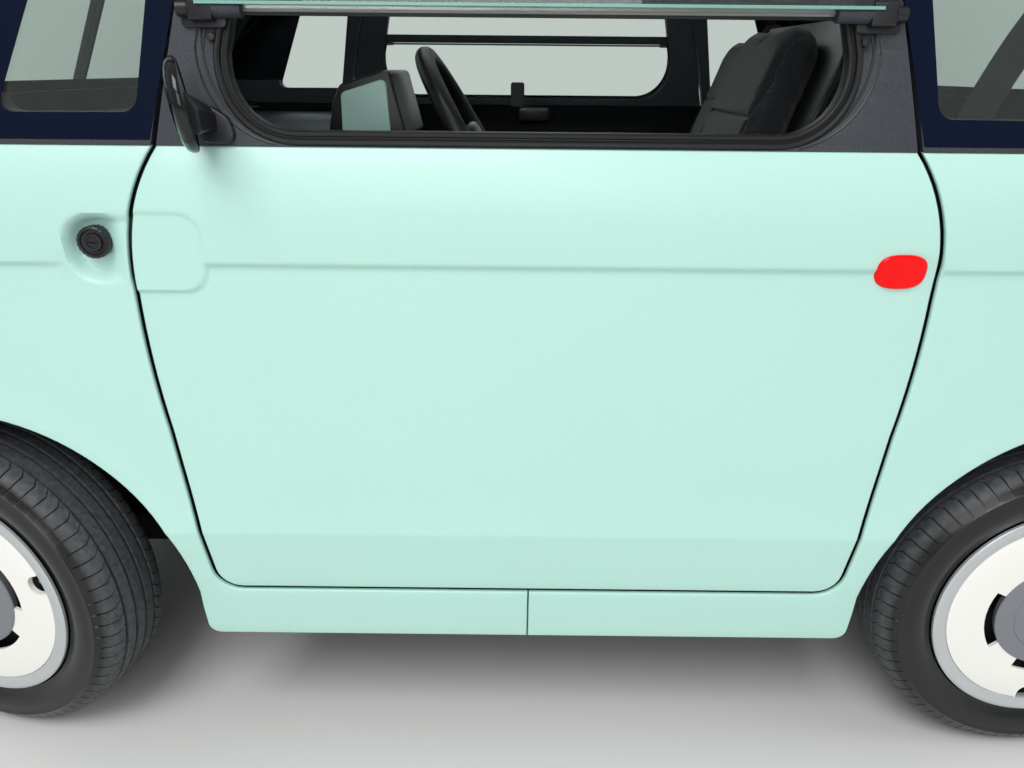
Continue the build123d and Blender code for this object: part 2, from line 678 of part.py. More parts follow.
rail_top = SILL_Z + WALL
floor_top = rail_top + FLOOR
floor = lower_inner & slab(rail_top, floor_top) & Box(2 * BULKHEAD_X, WIDTH, 2000)
for arch in arches:
    floor -= arch
save("floor_pan", floor)
bulkhead = lower_inner & slab(floor_top, BULKHEAD_TOP_Z)
bulkhead &= Pos(BULKHEAD_X + FLOOR / 2, 0, 0) * Box(FLOOR, WIDTH, 3000)
for obstacle in (*liners, *arches):
    bulkhead -= obstacle
bulkhead = bulkhead.solids().sort_by(SortBy.VOLUME)[-1]
save("bulkheads", Compound(children=[bulkhead, turned(bulkhead)]))

# Front suspension on the body: towers, lower arms and their cross tube
link_top = BALL_Z - 4
with BuildSketch(Plane.XY.offset(link_top - LINK)) as wishbone:
    with Locations((FRONT_AXLE_X, (RAIL_Y + BALL_Y) / 2)):
        Trapezoid(2 * LINK_HALF, BALL_Y - RAIL_Y, 73)
lower_link = extrude(wishbone.sketch, amount=LINK)
lower_link += Pos(FRONT_AXLE_X, BALL_Y, link_top - LINK / 2) * Cylinder(BALL_R + 10, LINK)
lower_link -= Pos(FRONT_AXLE_X, BALL_Y, BALL_Z) * Sphere(BALL_R + BALL_GAP)
bush = rail_top - RAIL_H - link_top + LINK
for end in (1, -1):
    bush_place = Pos(FRONT_AXLE_X + end * (LINK_HALF - 20), RAIL_Y + 4, link_top - LINK + bush / 2)
    lower_link += bush_place * Box(40, 36, bush)
links = [lower_link, mirror(lower_link, about=Plane.XZ)]
rails = [Pos((RAIL_FRONT_X + RAIL_REAR_X) / 2, sign * RAIL_Y, rail_top - RAIL_H / 2)
         * Box(RAIL_FRONT_X - RAIL_REAR_X, RAIL_W, RAIL_H) for sign in (1, -1)]
links = [link - rails[0] - rails[1] for link in links]
save("front_arms", Compound(children=links))
save("strut_towers", Compound(children=towers))

# Frame: rails with tubes across them
members = []
for x in MEMBERS_X:
    inner = 2 * RAIL_Y - RAIL_W
    members.append(Pos(x, 0, rail_top - RAIL_H / 2) * Box(MEMBER_W, inner, RAIL_H))
for x in OUTRIGGERS_X:
    outer = SILL_Y - UNDER_EDGE - RAIL_Y - RAIL_W / 2
    for sign in (1, -1):
        y = sign * (RAIL_Y + RAIL_W / 2 + outer / 2)
        members.append(Pos(x, y, rail_top - RAIL_H / 2) * Box(MEMBER_W, outer, RAIL_H))
save("chassis_rails", Compound(children=rails))
save("cross_members", Compound(children=members))
motor_x = (MEMBERS_X[0] + MEMBERS_X[1]) / 2
motor = Pos(motor_x, 0, SILL_Z + MOTOR_HEIGHT / 2) * Box(MOTOR_LENGTH, MOTOR_WIDTH, MOTOR_HEIGHT)
save("motor_block", motor)
battery = Pos(BATTERY_FRONT_X - BATTERY_LENGTH / 2, 0, floor_top + BATTERY_HEIGHT / 2)
save("battery_block", battery * Box(BATTERY_LENGTH, BATTERY_WIDTH, BATTERY_HEIGHT))

# Rear axle: a tube across, trailing arms, pivots at the rails, drums and stubs


def cross_tube(x, y_from, y_to, z, radius):
    """A round tube along Y between two distances from the middle."""
    return Pos(x, (y_from + y_to) / 2, z) * Rot(90, 0, 0) * Cylinder(radius, y_to - y_from)


pivot_x = REAR_AXLE_X + TRAILING_AHEAD
trailing = ((REAR_AXLE_X - 22, TYRE_R - 24), (REAR_AXLE_X - 22, TYRE_R + 24),
            (pivot_x + 20, TRAILING_PIVOT_Z + 20), (pivot_x + 20, TRAILING_PIVOT_Z - 20))
drum_y = REAR_WHEEL_Y - DRUM_IN - 7
half_axle = side_prism(trailing) & (Pos(0, TRAILING_Y, 0) * Box(4000, TRAILING_W, 2000))
half_axle += cross_tube(REAR_AXLE_X + AXLE_TUBE_AHEAD, 0, TRAILING_Y, TYRE_R, AXLE_TUBE_R)
half_axle += cross_tube(pivot_x, RAIL_Y + RAIL_W / 2, TRAILING_Y, TRAILING_PIVOT_Z, 16)
half_axle += cross_tube(REAR_AXLE_X, TRAILING_Y, REAR_WHEEL_Y + STUB_OUT, TYRE_R, STUB_R)
half_axle += cross_tube(REAR_AXLE_X, drum_y - DRUM_W / 2, drum_y + DRUM_W / 2, TYRE_R, DRUM_R)
save("rear_axle", half_axle + mirror(half_axle, about=Plane.XZ))


def wheel_slot(low, high, span):
    """A cut in the wheel's face between two radii, over an angle in degrees."""
    def on(radius, angle):
        return radius * cos(radians(angle)), radius * sin(radians(angle))

    with BuildSketch(Plane.XZ) as slot:
        with BuildLine():
            outer = ThreePointArc(on(high, -span / 2), on(high, 0), on(high, span / 2))
            inner = ThreePointArc(on(low, span / 2), on(low, 0), on(low, -span / 2))
            Line(outer @ 1, inner @ 0)
            Line(inner @ 1, outer @ 0)
        make_face()
    return Pos(0, TYRE_W / 2 + SLOT_DEPTH, 0) * extrude(slot.sketch, amount=2 * SLOT_DEPTH)


# Wheels, built about the Y axis with the outer face towards +Y
def wheel_parts():
    half_w = TYRE_W / 2
    with BuildSketch(Plane.XY) as tyre_half:
        with BuildLine():
            bead = Line((RIM_R, 0), (RIM_R, half_w - BEAD_IN))
            Polyline(bead @ 1, (RIM_R + BELLY_OUT, half_w), (TYRE_R - SHOULDER, half_w - SHOULDER),
                     (TYRE_R, TREAD_FLAT), (TYRE_R, 0))
            mirror(about=Plane.XZ)
        make_face()
    tyre = revolve(tyre_half.sketch, Axis.Y)
    bore = STUB_R + RUNNING
    well = RIM_R - RIM_DEPTH
    lip = half_w - RIM_LIP
    rows = (  # radius, distance outwards from the wheel's middle
        (bore, -HUB_BACK), (HUB_R, -HUB_BACK), (HUB_R, 24), (well, 46), (well, -lip), (RIM_R, -lip),
        (RIM_R, lip), (COVER_R, half_w - 9), (COVER_R - 4, half_w - 2), (COVER_R - COVER_RING, half_w - 2),
        (COVER_R - COVER_RING - 6, half_w - 8), (CAP_R + 4, half_w - 4), (CAP_R, half_w),
        (0, half_w + 1.5), (0, STUB_OUT + 1), (bore, STUB_OUT + 1),
    )
    with BuildSketch(Plane.XY) as rim_half:
        with BuildLine():
            Polyline(*rows, close=True)
        make_face()
    rim = revolve(rim_half.sketch, Axis.Y) - tyre
    for i in range(SLOTS):
        for low, high, span in (ARC_SLOT, EDGE_SLOT):
            rim -= Rot(0, 360 * i / SLOTS, 0) * wheel_slot(low, high, span)
    return tyre, rim


tyre, rim = wheel_parts()
lean = radians(KINGPIN_LEAN)
swing = {sign: Axis((FRONT_AXLE_X, sign * BALL_Y, BALL_Z), (0, -sign * sin(lean), cos(lean)))
         for sign in (1, -1)}


def steered(shape, sign):
    """A left or right front piece, turned to the angle at which the car is parked."""
    return shape.rotate(swing[sign], REST_STEER)


front_hub_z = TYRE_R + TURN_DROP
WHEELS = (  # name, axle, distance from the middle, hub height, side
    ("front_left", FRONT_AXLE_X, FRONT_WHEEL_Y, front_hub_z, 1),
    ("front_right", FRONT_AXLE_X, FRONT_WHEEL_Y, front_hub_z, -1),
    ("rear_left", REAR_AXLE_X, REAR_WHEEL_Y, TYRE_R, 1),
    ("rear_right", REAR_AXLE_X, REAR_WHEEL_Y, TYRE_R, -1),
)
for name, x, y, z, sign in WHEELS:
    for kind, shape in (("tyre", tyre), ("rim", rim)):
        placed = Pos(x, y, z) * shape
        if sign < 0:
            placed = mirror(placed, about=Plane.XZ)
        if name.startswith("front"):
            placed = steered(placed, sign)
        save(f"{kind}_{name}", placed)

# Knuckles: stub, drum, ball joint and strut, about the leaning steering axis
stub_from, stub_to = FRONT_WHEEL_Y - STUB_ROOT, FRONT_WHEEL_Y + STUB_OUT
drum_y = FRONT_WHEEL_Y - DRUM_IN
knuckle = cross_tube(FRONT_AXLE_X, stub_from, stub_to, front_hub_z, STUB_R)
knuckle += cross_tube(FRONT_AXLE_X, drum_y - DRUM_W / 2, drum_y + DRUM_W / 2, front_hub_z, DRUM_R)
knuckle += Pos(FRONT_AXLE_X, BALL_Y, BALL_Z) * Sphere(BALL_R)
knuckle += on_steering_line(BALL_Z + NECK / 2) * Cylinder(NECK_R, NECK)
strut_low = TYRE_R + STRUT_FOOT
strut_len = (STRUT_TOP_Z - strut_low) / cos(lean)
knuckle += on_steering_line((strut_low + STRUT_TOP_Z) / 2) * Cylinder(STRUT_R, strut_len)
upright_h = strut_low - BALL_Z
knuckle += Pos(FRONT_AXLE_X, drum_y + 1, BALL_Z + 20 + upright_h / 2) * Box(34, UPRIGHT_W, upright_h)
heel_y = drum_y + 1 - UPRIGHT_W / 2
heel = Pos(FRONT_AXLE_X, (heel_y + BALL_Y + NECK_R) / 2, BALL_Z + HEEL)
knuckle += heel * Box(26, BALL_Y + NECK_R - heel_y, HEEL)
save("knuckle_left", steered(knuckle, 1))
save("knuckle_right", steered(mirror(knuckle, about=Plane.XZ), -1))

# Dashboard: a deep shelf with a front face and a lower tray
dash_front = BONNET_BACK_X - 50
with BuildSketch(Plane.XZ) as dash_outline:
    with BuildLine():
        Polyline((DASH_REAR_X + 8, DASH_TOP_Z - 18), (DASH_REAR_X + 26, DASH_TOP_Z),
                 (dash_front, DASH_TOP_Z), (dash_front, DASH_TOP_Z - DASH_WALL),
                 (DASH_REAR_X + 34, DASH_TOP_Z - DASH_WALL),
                 (DASH_REAR_X + 20, DASH_TOP_Z - 26), (DASH_REAR_X + 56, DASH_BOTTOM_Z + DASH_WALL),
                 (BULKHEAD_X, DASH_BOTTOM_Z + DASH_WALL - 30), (BULKHEAD_X, DASH_BOTTOM_Z - 30),
                 (DASH_REAR_X + 46, DASH_BOTTOM_Z), close=True)
    make_face()
dash = extrude(dash_outline.sketch, amount=1000, both=True) & lower_inner
for liner in liners:
    dash -= liner
for arch in arches:
    dash -= arch
dash &= Box(4000, 2 * DASH_HALF, 4000)
column_dir = Vector(cos(radians(COLUMN_TILT)), 0, -sin(radians(COLUMN_TILT)))
hub = Vector(WHEEL_HUB_X, SEAT_Y, WHEEL_HUB_Z)
column_place = Plane(origin=hub, x_dir=(0, 1, 0), z_dir=column_dir)
column = column_place * Pos(0, 0, COLUMN_START + COLUMN_LENGTH / 2) * Cylinder(COLUMN_R, COLUMN_LENGTH)
dash -= column
dash = dash.solids().sort_by(SortBy.VOLUME)[-1]
save("dashboard", dash)
save("steering_column", column)
with BuildSketch(Plane.XZ) as casing:
    with BuildLine():
        Polyline((330, DASH_TOP_Z), (318, DASH_TOP_Z), (226, DASH_TOP_Z + 4), (206, DASH_TOP_Z + 96),
                 (218, DASH_TOP_Z + 112), (300, DASH_TOP_Z + 90), (318, DASH_TOP_Z + 60), close=True)
    make_face()
binnacle = Pos(0, SEAT_Y, 0) * extrude(casing.sketch, amount=120, both=True)
save("binnacle", binnacle)
wheel_ring = column_place * Torus(WHEEL_RIM_R, WHEEL_GRIP_R)
wheel_hub = column_place * Pos(0, 0, 10) * Cylinder(48, 58)
spokes = column_place * Pos(0, 0, 0) * Box(26, 2 * WHEEL_RIM_R - 6, 14)
spokes += column_place * Pos(WHEEL_RIM_R / 2, 0, 0) * Box(WHEEL_RIM_R, 30, 14)
steering = wheel_ring + wheel_hub + spokes
save("steering_wheel", steering)

# Seats: a bent shell on a foot, with cushion and back pad
recline = radians(SEAT_LEAN)


def seat_band(low, high, width):
    """The driver's band between two depths below and behind the seat's surface, from knee to head."""
    corners = (  # x, z on the surface, then the x and z that each depth adds
        (SEAT_FRONT_X, SEAT_HIP_Z + SEAT_KNEE_RISE, 0, -1),
        (SEAT_HIP_X, SEAT_HIP_Z, -0.72, -1),
        (SEAT_HIP_X - sin(recline) * BACK_LENGTH, SEAT_HIP_Z + cos(recline) * BACK_LENGTH,
         -cos(recline), -sin(recline)),
    )
    near = [(x + dx * low, z + dz * low) for x, z, dx, dz in corners]
    far = [(x + dx * high, z + dz * high) for x, z, dx, dz in reversed(corners)]
    return Pos(0, SEAT_Y, 0) * (side_prism(near + far) & Box(4000, width, 4000))


def both_seats(shape):
    """The driver's piece on the left and the passenger's on the right, set further back."""
    return [shape, Pos(-PASSENGER_BACK, -2 * SEAT_Y, 0) * shape]


shell = seat_band(CUSHION, CUSHION + SEAT_SHELL, SEAT_W)
pads = seat_band(0, CUSHION, SEAT_W - 30)
crease = Pos(SEAT_HIP_X - 40, SEAT_Y, SEAT_HIP_Z - 20) * Rot(0, -SEAT_LEAN - 35, 0) * Box(600, 1000, 6)
back_pad, cushion = (pads - crease).solids().sort_by(Axis.X)
foot = Pos(SEAT_FOOT_X, SEAT_Y, 0) * Box(SEAT_FOOT_LENGTH, SEAT_FOOT_WIDTH, 4000)
foot &= slab(floor_top, SEAT_HIP_Z) - seat_band(-300, CUSHION + SEAT_SHELL, 3000)
battery_box = battery * Box(BATTERY_LENGTH, BATTERY_WIDTH, BATTERY_HEIGHT)
save("seat_shells", Compound(children=both_seats(shell)))
save("seat_cushions", Compound(children=both_seats(cushion)))
save("seat_backs", Compound(children=both_seats(back_pad)))
save("seat_feet", Compound(children=[piece - battery_box for piece in both_seats(foot)]))

# Lamps fill their holes in the end panels
headlamps = [end_panel & lamp_hole, end_panel & mirror(lamp_hole, about=Plane.XZ)]
save("headlamps", Compound(children=headlamps))
tail_lamps = [turned(end_panel & tail_hole), turned(end_panel & mirror(tail_hole, about=Plane.XZ))]
save("tail_lamps", Compound(children=tail_lamps))

# Bumper strips that follow the end faces
strip = lower_body(-BUMPER_PROUD) & slab(BUMPER_Z - BUMPER_HEIGHT / 2, BUMPER_Z + BUMPER_HEIGHT / 2)
strip &= Pos(LENGTH / 2 - 100, 0, 0) * Box(200, 2 * BUMPER_HALF, 2000)
strip -= lower_outer
save("bumper_strips", Compound(children=[strip, turned(strip)]))

# Wiper, laid on the windscreen's plane
slope = Vector(1, 0, SCREEN_RUN).normalized()
glass_plane = Plane(origin=(screen_x(SCREEN_BOTTOM_Z), 0, SCREEN_BOTTOM_Z), x_dir=(0, 1, 0), z_dir=slope)
blade = glass_plane * Pos(40, 260, WIPER_DEPTH / 2) * Rot(0, 0, -30) * Box(9, WIPER_BLADE, WIPER_DEPTH)
wiper_arm = glass_plane * Pos(-30, 140, WIPER_DEPTH / 2 + 9) * Rot(0, 0, -30) * Box(14, 270, WIPER_DEPTH)
pivot = glass_plane * Pos(-96, 26, 12) * Cylinder(16, 24)
save("wiper", blade + wiper_arm + pivot)
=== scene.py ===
"""Two-seat electric microcar: the finish of its panels, glass, wheels, lamps and cabin.

The file is laid out as an add-on and run as a script: main registers the operators and calls them.
Lengths are metres. X points forward, Y to the left and Z up, from the ground below the middle.
"""
import json
from math import asin, atan2, cos, hypot, pi, radians, sin, sqrt

import bpy
from bpy.props import FloatProperty, FloatVectorProperty, PointerProperty
from mathutils import Matrix, Vector


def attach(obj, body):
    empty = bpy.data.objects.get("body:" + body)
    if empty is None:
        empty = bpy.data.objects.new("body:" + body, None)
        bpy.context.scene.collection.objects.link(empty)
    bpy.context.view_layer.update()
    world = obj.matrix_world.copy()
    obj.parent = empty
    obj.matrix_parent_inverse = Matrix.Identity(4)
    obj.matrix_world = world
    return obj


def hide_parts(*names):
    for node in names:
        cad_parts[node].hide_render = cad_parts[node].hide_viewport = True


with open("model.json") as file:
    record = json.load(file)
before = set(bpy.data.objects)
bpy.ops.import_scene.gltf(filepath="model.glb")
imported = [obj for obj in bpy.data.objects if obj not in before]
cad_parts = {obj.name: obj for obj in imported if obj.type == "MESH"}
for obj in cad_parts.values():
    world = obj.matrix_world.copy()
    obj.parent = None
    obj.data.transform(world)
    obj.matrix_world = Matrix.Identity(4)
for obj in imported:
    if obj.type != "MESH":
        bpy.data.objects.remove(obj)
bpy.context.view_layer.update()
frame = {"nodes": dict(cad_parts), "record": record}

bl_info = {
    "name": "Microcar builder",
    "version": (1, 0, 0),
    "blender": (4, 5, 0),
    "location": "View3D > Sidebar > Microcar",
    "description": "Dresses the microcar's construction model with panels, glass, wheels and a cabin",
    "category": "Object",
}

# Lower body: heights of its edges and creases, and its walls
SILL_Z = 0.208
LOW_CREASE_Z = 0.416
CREASE_Z = 0.832
SIDE_TOP_Z = 0.828  # the side follows its own section up to here
BELT_Z = 0.987
SHOULDER_Z = 0.885
SHOULDER_Y = 0.6988
WALL = 0.034  # thickness of a panel with its inner wall
RIM = 0.003  # width of the rounding along its edges
LIP = 0.007  # depth of its coloured edge; deeper in, the edge is black as painted shade
# Within the lip a panel is black: on its back as its inner trim, on its edge as painted shade in the shut
# gaps
FACE_AND_SHADED_LINING = ("mass_coloured_panel", "smooth_black_plastic")  # a panel's finish outside its lip and within
BACK_DEPTH = 0.02  # deeper than this, it may follow a plainer skin
SHUT_GAP = 0.007  # between door and body
PANEL_GAP = 0.004  # between side and end panel

# The corners between the sides and the ends, and the bow of the ends
CORNER_R = 0.192
CORNER_R_LOSS = 0.100
BOW = radians(7)

# The side's crease: half the height over which it turns, and where along the side it fades
CREASE_SPREAD = 0.004
CREASE_FADE = 0.030
HANDLE_RUN = (0.440, 0.665)
REFLECTOR_RUN = (-0.560, -0.455)

# Door outline and the shut line between side panel and end panel, as (x, z)
DOOR_BOTTOM_Z = 0.310
DOOR_FOOT_X = 0.4887
DOOR_LOW = (0.524, 0.585)
DOOR_WIDE = (0.543, 0.795)
DOOR_BELT = (0.494, 0.987)
DOOR_FOOT_R = 0.038
DOORS = ("left_door", "right_door")
HINGE_HEIGHTS = (0.872, 0.428)
SILL_SPLIT_X = 0.001
SPLIT_X = 1.105
SPLIT_KNEE_Z = 0.560
SPLIT_BROW = (1.085, 0.850)
SPLIT_MID = (0.950, 0.935)
SPLIT_BELT = (0.755, 0.987)

# Wheel arch
ARCH_X = 0.870
ARCH_Z = 0.268
ARCH_R = 0.345
ARCH_FOOT = (0.5275, 0.262)
ARCH_START = (0.5265, 0.300)
ARCH_TOP_Z = 0.5206
ARCH_FLANK_X = 1.198
ARCH_FLARE = 0.0035
FLARE_WIDTH = 0.05

# Handle pad on the left door and the dish beside it, as (low x, high x, low z, high z). The dish starts
# a step below the pad and falls away from one x on
PAD = (0.442, 0.620, 0.792, 0.905)
PAD_Y = 0.6955
PAD_R = 0.035
PAD_EDGE = 0.006
DISH = (0.470, 0.634, 0.803, 0.903)
DISH_R = 0.042
DISH_EDGE = 0.016
DISH_STEP = 0.002
DISH_DEPTH = 0.020
DISH_FALL_X = 0.545
DISH_FALL = 0.045
BUTTON = (0.594, 0.861)
BUTTON_R = 0.0225

# Stretches of a panel that are cut more closely, as (low, high, step)
LOW_CREASE_CUTS = (0.412, 0.420, 0.004)
CREASE_CUTS = (0.816, 0.848, 0.002)
PAD_CUTS_X = (0.438, 0.470, 0.004)
PAD_CUTS_Z = (0.780, 0.912, 0.003)
DISH_CUTS_X = (0.548, 0.640, 0.004)
DISH_CUTS_Z = (0.79, 0.91, 0.004)

# Glazed body: its screens and sides lean in by their run for each metre of height
SCREEN_FOOT_X = 1.004
SCREEN_RUN = 0.81
BELT_Y = 0.680
SIDE_RUN = 0.167
BAR_Z = 1.146
PIVOT_Z = 1.150
FLAP_LIFT = 0.009
SEAT_SHOWN_X = 0.335  # the flap's seat shows beyond this
LAID = 0.0004  # how far a thin border lies proud of its glass

# Lamps, at the same (y, z) in the nose and the tail
HEADLAMP_R = 0.082
TAIL_LAMP_R = 0.052
LAMP_SPOT = (0.470, 0.700)

# Mesh work
MERGE = 0.00001  # points nearer than this become one
BORDER_STEP = 0.06
BORDER_WALL = 0.0006
AXIS_R = 0.0004  # a turned profile ends this near its axis

AS_BUILT = Matrix.Identity(4)
HALF_TURN = Matrix.Rotation(pi, 4, "Z")
FLIP_X = Matrix.Scale(-1, 4, (1, 0, 0))
FLIP_Y = Matrix.Scale(-1, 4, (0, 1, 0))


def linear(code):
    """The linear colour of an sRGB hex value."""
    channels = [int(code[i:i + 2], 16) / 255 for i in (0, 2, 4)]
    return tuple(c / 12.92 if c <= 0.04045 else ((c + 0.055) / 1.055) ** 2.4 for c in channels) + (1.0,)


def length(name, description, default):
    """A setting in metres."""
    return FloatProperty(name=name, description=description, default=default, unit="LENGTH", precision=4)


def colour(name, description, code):
    """A colour setting, from its sRGB hex value."""
    return FloatVectorProperty(name=name, description=description, subtype="COLOR", size=4, min=0, max=1,
                               default=linear(code))


class BodySettings(bpy.types.PropertyGroup):
    """Colours of the panels, frames and glass, and how finely a panel is cut"""
    paint: colour("Panel colour", "Colour moulded into the body panels", "C0EADE")
    frame: colour("Frame colour", "Grained plastic round the windows", "393E45")
    frit: colour("Glass border", "Fired border of the fixed panes", "061128")
    mesh_step: length("Mesh step", "Spacing of the lines that bend a panel", 0.02)


class WheelSettings(bpy.types.PropertyGroup):
    """Sizes of the tyre and the colour of its cover"""
    tyre_radius: length("Tyre radius", "Radius over the tread", 0.272)
    tyre_width: length("Tyre width", "Width over the sidewalls", 0.155)
    groove: length("Groove width", "Width of the grooves round the tread", 0.007)
    cover: colour("Cover colour", "Disc of the wheel cover", "FCFAF4")


class CabinSettings(bpy.types.PropertyGroup):
    """Colours inside the cabin"""
    fabric: colour("Seat fabric", "Knitted cover of the seats", "26292F")
    dash: colour("Dashboard", "Grained plastic of the dashboard", "1B2536")


class StageSettings(bpy.types.PropertyGroup):
    """The floor's colour and the strength of the light"""
    floor: colour("Floor", "Pale floor and background", "E4E4E1")
    daylight: FloatProperty(name="Daylight", description="Strength of the light from all round", default=0.42)
    key_power: FloatProperty(name="Softbox power", description="Power of the main softbox", default=190.0)


def smooth(t):
    """Eases from 0 to 1 as t does."""
    t = min(max(t, 0.0), 1.0)
    return t * t * (3 - 2 * t)


def arc(start, middle, end, count=16):
    """Points along the arc through three points, both ends included."""
    (ax, ay), (bx, by), (cx, cy) = start, middle, end
    d = 2 * (ax * (by - cy) + bx * (cy - ay) + cx * (ay - by))
    a, b, c = ax * ax + ay * ay, bx * bx + by * by, cx * cx + cy * cy
    ox = (a * (by - cy) + b * (cy - ay) + c * (ay - by)) / d
    oy = (a * (cx - bx) + b * (ax - cx) + c * (bx - ax)) / d
    radius = hypot(ax - ox, ay - oy)
    first, via, last = (atan2(y - oy, x - ox) for x, y in (start, middle, end))
    via = first + (via - first + pi) % (2 * pi) - pi
    last = via + (last - via + pi) % (2 * pi) - pi
    steps = [first + (last - first) * i / (count - 1) for i in range(count)]
    return [(ox + radius * cos(t), oy + radius * sin(t)) for t in steps]


def rounded(points, radii, count=7):
    """The outline with each corner that has a radius rounded by an arc."""
    result = []
    for index, corner in enumerate(points):
        radius = radii[index]
        if not radius:
            result.append(corner)
            continue
        here = Vector(corner)
        to_last = (Vector(points[index - 1]) - here).normalized()
        to_next = (Vector(points[(index + 1) % len(points)]) - here).normalized()
        half = to_last.angle(to_next) / 2
        reach = radius / abs(sin(half) / cos(half))
        centre = here + (to_last + to_next).normalized() * radius / sin(half)
        start, end = here + to_last * reach, here + to_next * reach
        middle = centre + (here - centre).normalized() * radius
        result.extend(arc(tuple(start), tuple(middle), tuple(end), count))
    return result


def rounded_box(low_x, high_x, low_z, high_z, radius, count=7):
    """The outline of an upright rectangle with rounded corners."""
    corners = [(low_x, low_z), (high_x, low_z), (high_x, high_z), (low_x, high_z)]
    return rounded(corners, [radius] * 4, count)


def at_height(chain, z):
    """The first coordinate of a chain of points, lowest first, at a height."""
    for (a, low), (b, high) in zip(chain, chain[1:]):
        if z <= high:
            return a + (b - a) * (z - low) / (high - low)
    return chain[-1][0]


# Sections of the lower body as (out, z), lowest first: the side, the end and the shut line between them
SIDE_CHAIN = ([(0.6735, SILL_Z)] + arc((0.7012, LOW_CREASE_Z), (0.6974, 0.468), (0.6958, 0.525), 8)
              + arc((0.6958, 0.525), (0.6922, 0.660), (0.690, SIDE_TOP_Z))[1:])
END_CHAIN = (arc((1.1795, SILL_Z), (1.2215, 0.222), (1.2415, 0.262), 8)
             + arc((1.2555, 0.560), (1.2425, 0.750), (1.190, 0.868))
             + arc((1.190, 0.868), (1.110, 0.934), (1.010, 0.978), 12)[1:] + [(SCREEN_FOOT_X, BELT_Z)])
SPLIT_CHAIN = ([(SPLIT_X, SILL_Z), (SPLIT_X, SPLIT_KNEE_Z)]
               + arc(SPLIT_BROW, SPLIT_MID, SPLIT_BELT))


def crease_spread(x):
    """Half the height over which the side's crease turns: it fades at the handle and the reflector."""
    at_handle = smooth((x - HANDLE_RUN[0]) / 0.03) * smooth((HANDLE_RUN[1] - x) / 0.03)
    at_reflector = smooth((x - REFLECTOR_RUN[0]) / 0.02) * smooth((REFLECTOR_RUN[1] - x) / 0.03)
    return CREASE_SPREAD + CREASE_FADE * max(at_handle, at_reflector)


def half_width(z, spread=CREASE_SPREAD):
    """Half the width of the lower body: a flat side, and a shoulder that rolls in above the crease."""
    low = at_height(SIDE_CHAIN, min(z, SIDE_TOP_Z))
    rise = z - SHOULDER_Z
    high = SHOULDER_Y - (0.75 * rise ** 2 if rise < 0 else 1.46 * rise ** 2 + 42 * rise ** 4)
    share = smooth((z - CREASE_Z) / (2 * spread) + 0.5)
    return low + (high - low) * share


def corner_radius(z):
    """The radius of the body's corners, which tighten towards the belt."""
    return CORNER_R - CORNER_R_LOSS * smooth((z - 0.74) / 0.22)


def end_section(z, spread=CREASE_SPREAD):
    """An end's outline at a height: reach, half width, corner radius, the bow's radius, the x where the
    corner starts, and how far along the outline the end's middle lies."""
    reach, half, radius = at_height(END_CHAIN, z), half_width(z, spread), corner_radius(z)
    bow_r = (half - radius) / sin(BOW) + radius
    corner_x = reach - bow_r * (1 - cos(BOW)) - radius * cos(BOW)
    return reach, half, radius, bow_r, corner_x, corner_x + radius * (pi / 2 - BOW) + bow_r * BOW


def ring(s, z, spread=CREASE_SPREAD):
    """The point on the body's outline at a height, s along it from the middle of the left side."""
    reach, half, radius, bow_r, corner_x, total = end_section(z, spread)
    if s > total:
        x, y = ring(2 * total - s, z, spread)
        return x, -y
    if s <= corner_x:
        return s, half
    turn = (s - corner_x) / radius
    if turn <= pi / 2 - BOW:
        return corner_x + radius * sin(turn), half - radius + radius * cos(turn)
    angle = (total - s) / bow_r
    return reach - bow_r * (1 - cos(angle)), bow_r * sin(angle)


def ring_place(x, z):
    """How far along the outline the point of the side with this x lies, and the outline's length."""
    _, _, radius, _, corner_x, total = end_section(z)
    if x <= corner_x:
        return x, total
    along = min(x - corner_x, radius * cos(BOW))
    return corner_x + radius * atan2(along, sqrt(radius ** 2 - along ** 2)), total


def body_skin(x, z):
    """The lower body's outer skin on the left side, with a slight flare round the wheel arch."""
    end = abs(x)
    s, _ = ring_place(end, z)
    y = ring(s, z, crease_spread(x))[1]
    from_arch = hypot(end - ARCH_X, z - ARCH_Z) - ARCH_R
    return y + ARCH_FLARE * smooth(1 - from_arch / FLARE_WIDTH) * smooth((z - 0.25) / 0.1)


def inside_box(x, z, box, radius, edge):
    """1 inside a rounded box and 0 outside, easing over the width of its edge."""
    low_x, high_x, low_z, high_z = box
    dx = max(low_x + radius - x, x - high_x + radius, 0.0)
    dz = max(low_z + radius - z, z - high_z + radius, 0.0)
    return smooth((radius - hypot(dx, dz)) / edge)


def door_skin(x, z):
    """The left door's skin, with the flat handle pad at its front edge."""
    y = body_skin(x, z)
    return y + (PAD_Y - y) * inside_box(x, z, PAD, PAD_R, PAD_EDGE)


def latch_skin(x, z):
    """The front left panel's skin, with the dish round the lock button."""
    y = body_skin(x, z)
    floor = PAD_Y - DISH_STEP - DISH_DEPTH * smooth((x - DISH_FALL_X) / DISH_FALL)
    return y + (floor - y) * inside_box(x, z, DISH, DISH_R, DISH_EDGE)


def only(obj):
    """Leaves one object selected and active, in object mode."""
    if bpy.context.mode != "OBJECT":
        bpy.ops.object.mode_set(mode="OBJECT")
    bpy.ops.object.select_all(action="DESELECT")
    obj.select_set(True)
    bpy.context.view_layer.objects.active = obj
    return obj


def clear_edges(obj):
    """Leaves nothing of one object selected, so that edges can be picked in code."""
    only(obj)
    bpy.ops.object.mode_set(mode="EDIT")
    bpy.ops.mesh.select_mode(type="EDGE")
    bpy.ops.mesh.select_all(action="DESELECT")
    bpy.ops.object.mode_set(mode="OBJECT")


def reopen():
    """Opens the active object for editing, with what code has picked."""
    bpy.ops.object.mode_set(mode="EDIT")


def close():
    """Leaves edit mode."""
    bpy.ops.object.mode_set(mode="OBJECT")


def open_whole(obj):
    """Opens one object for editing with all of it selected."""
    only(obj)
    reopen()
    bpy.ops.mesh.select_all(action="SELECT")


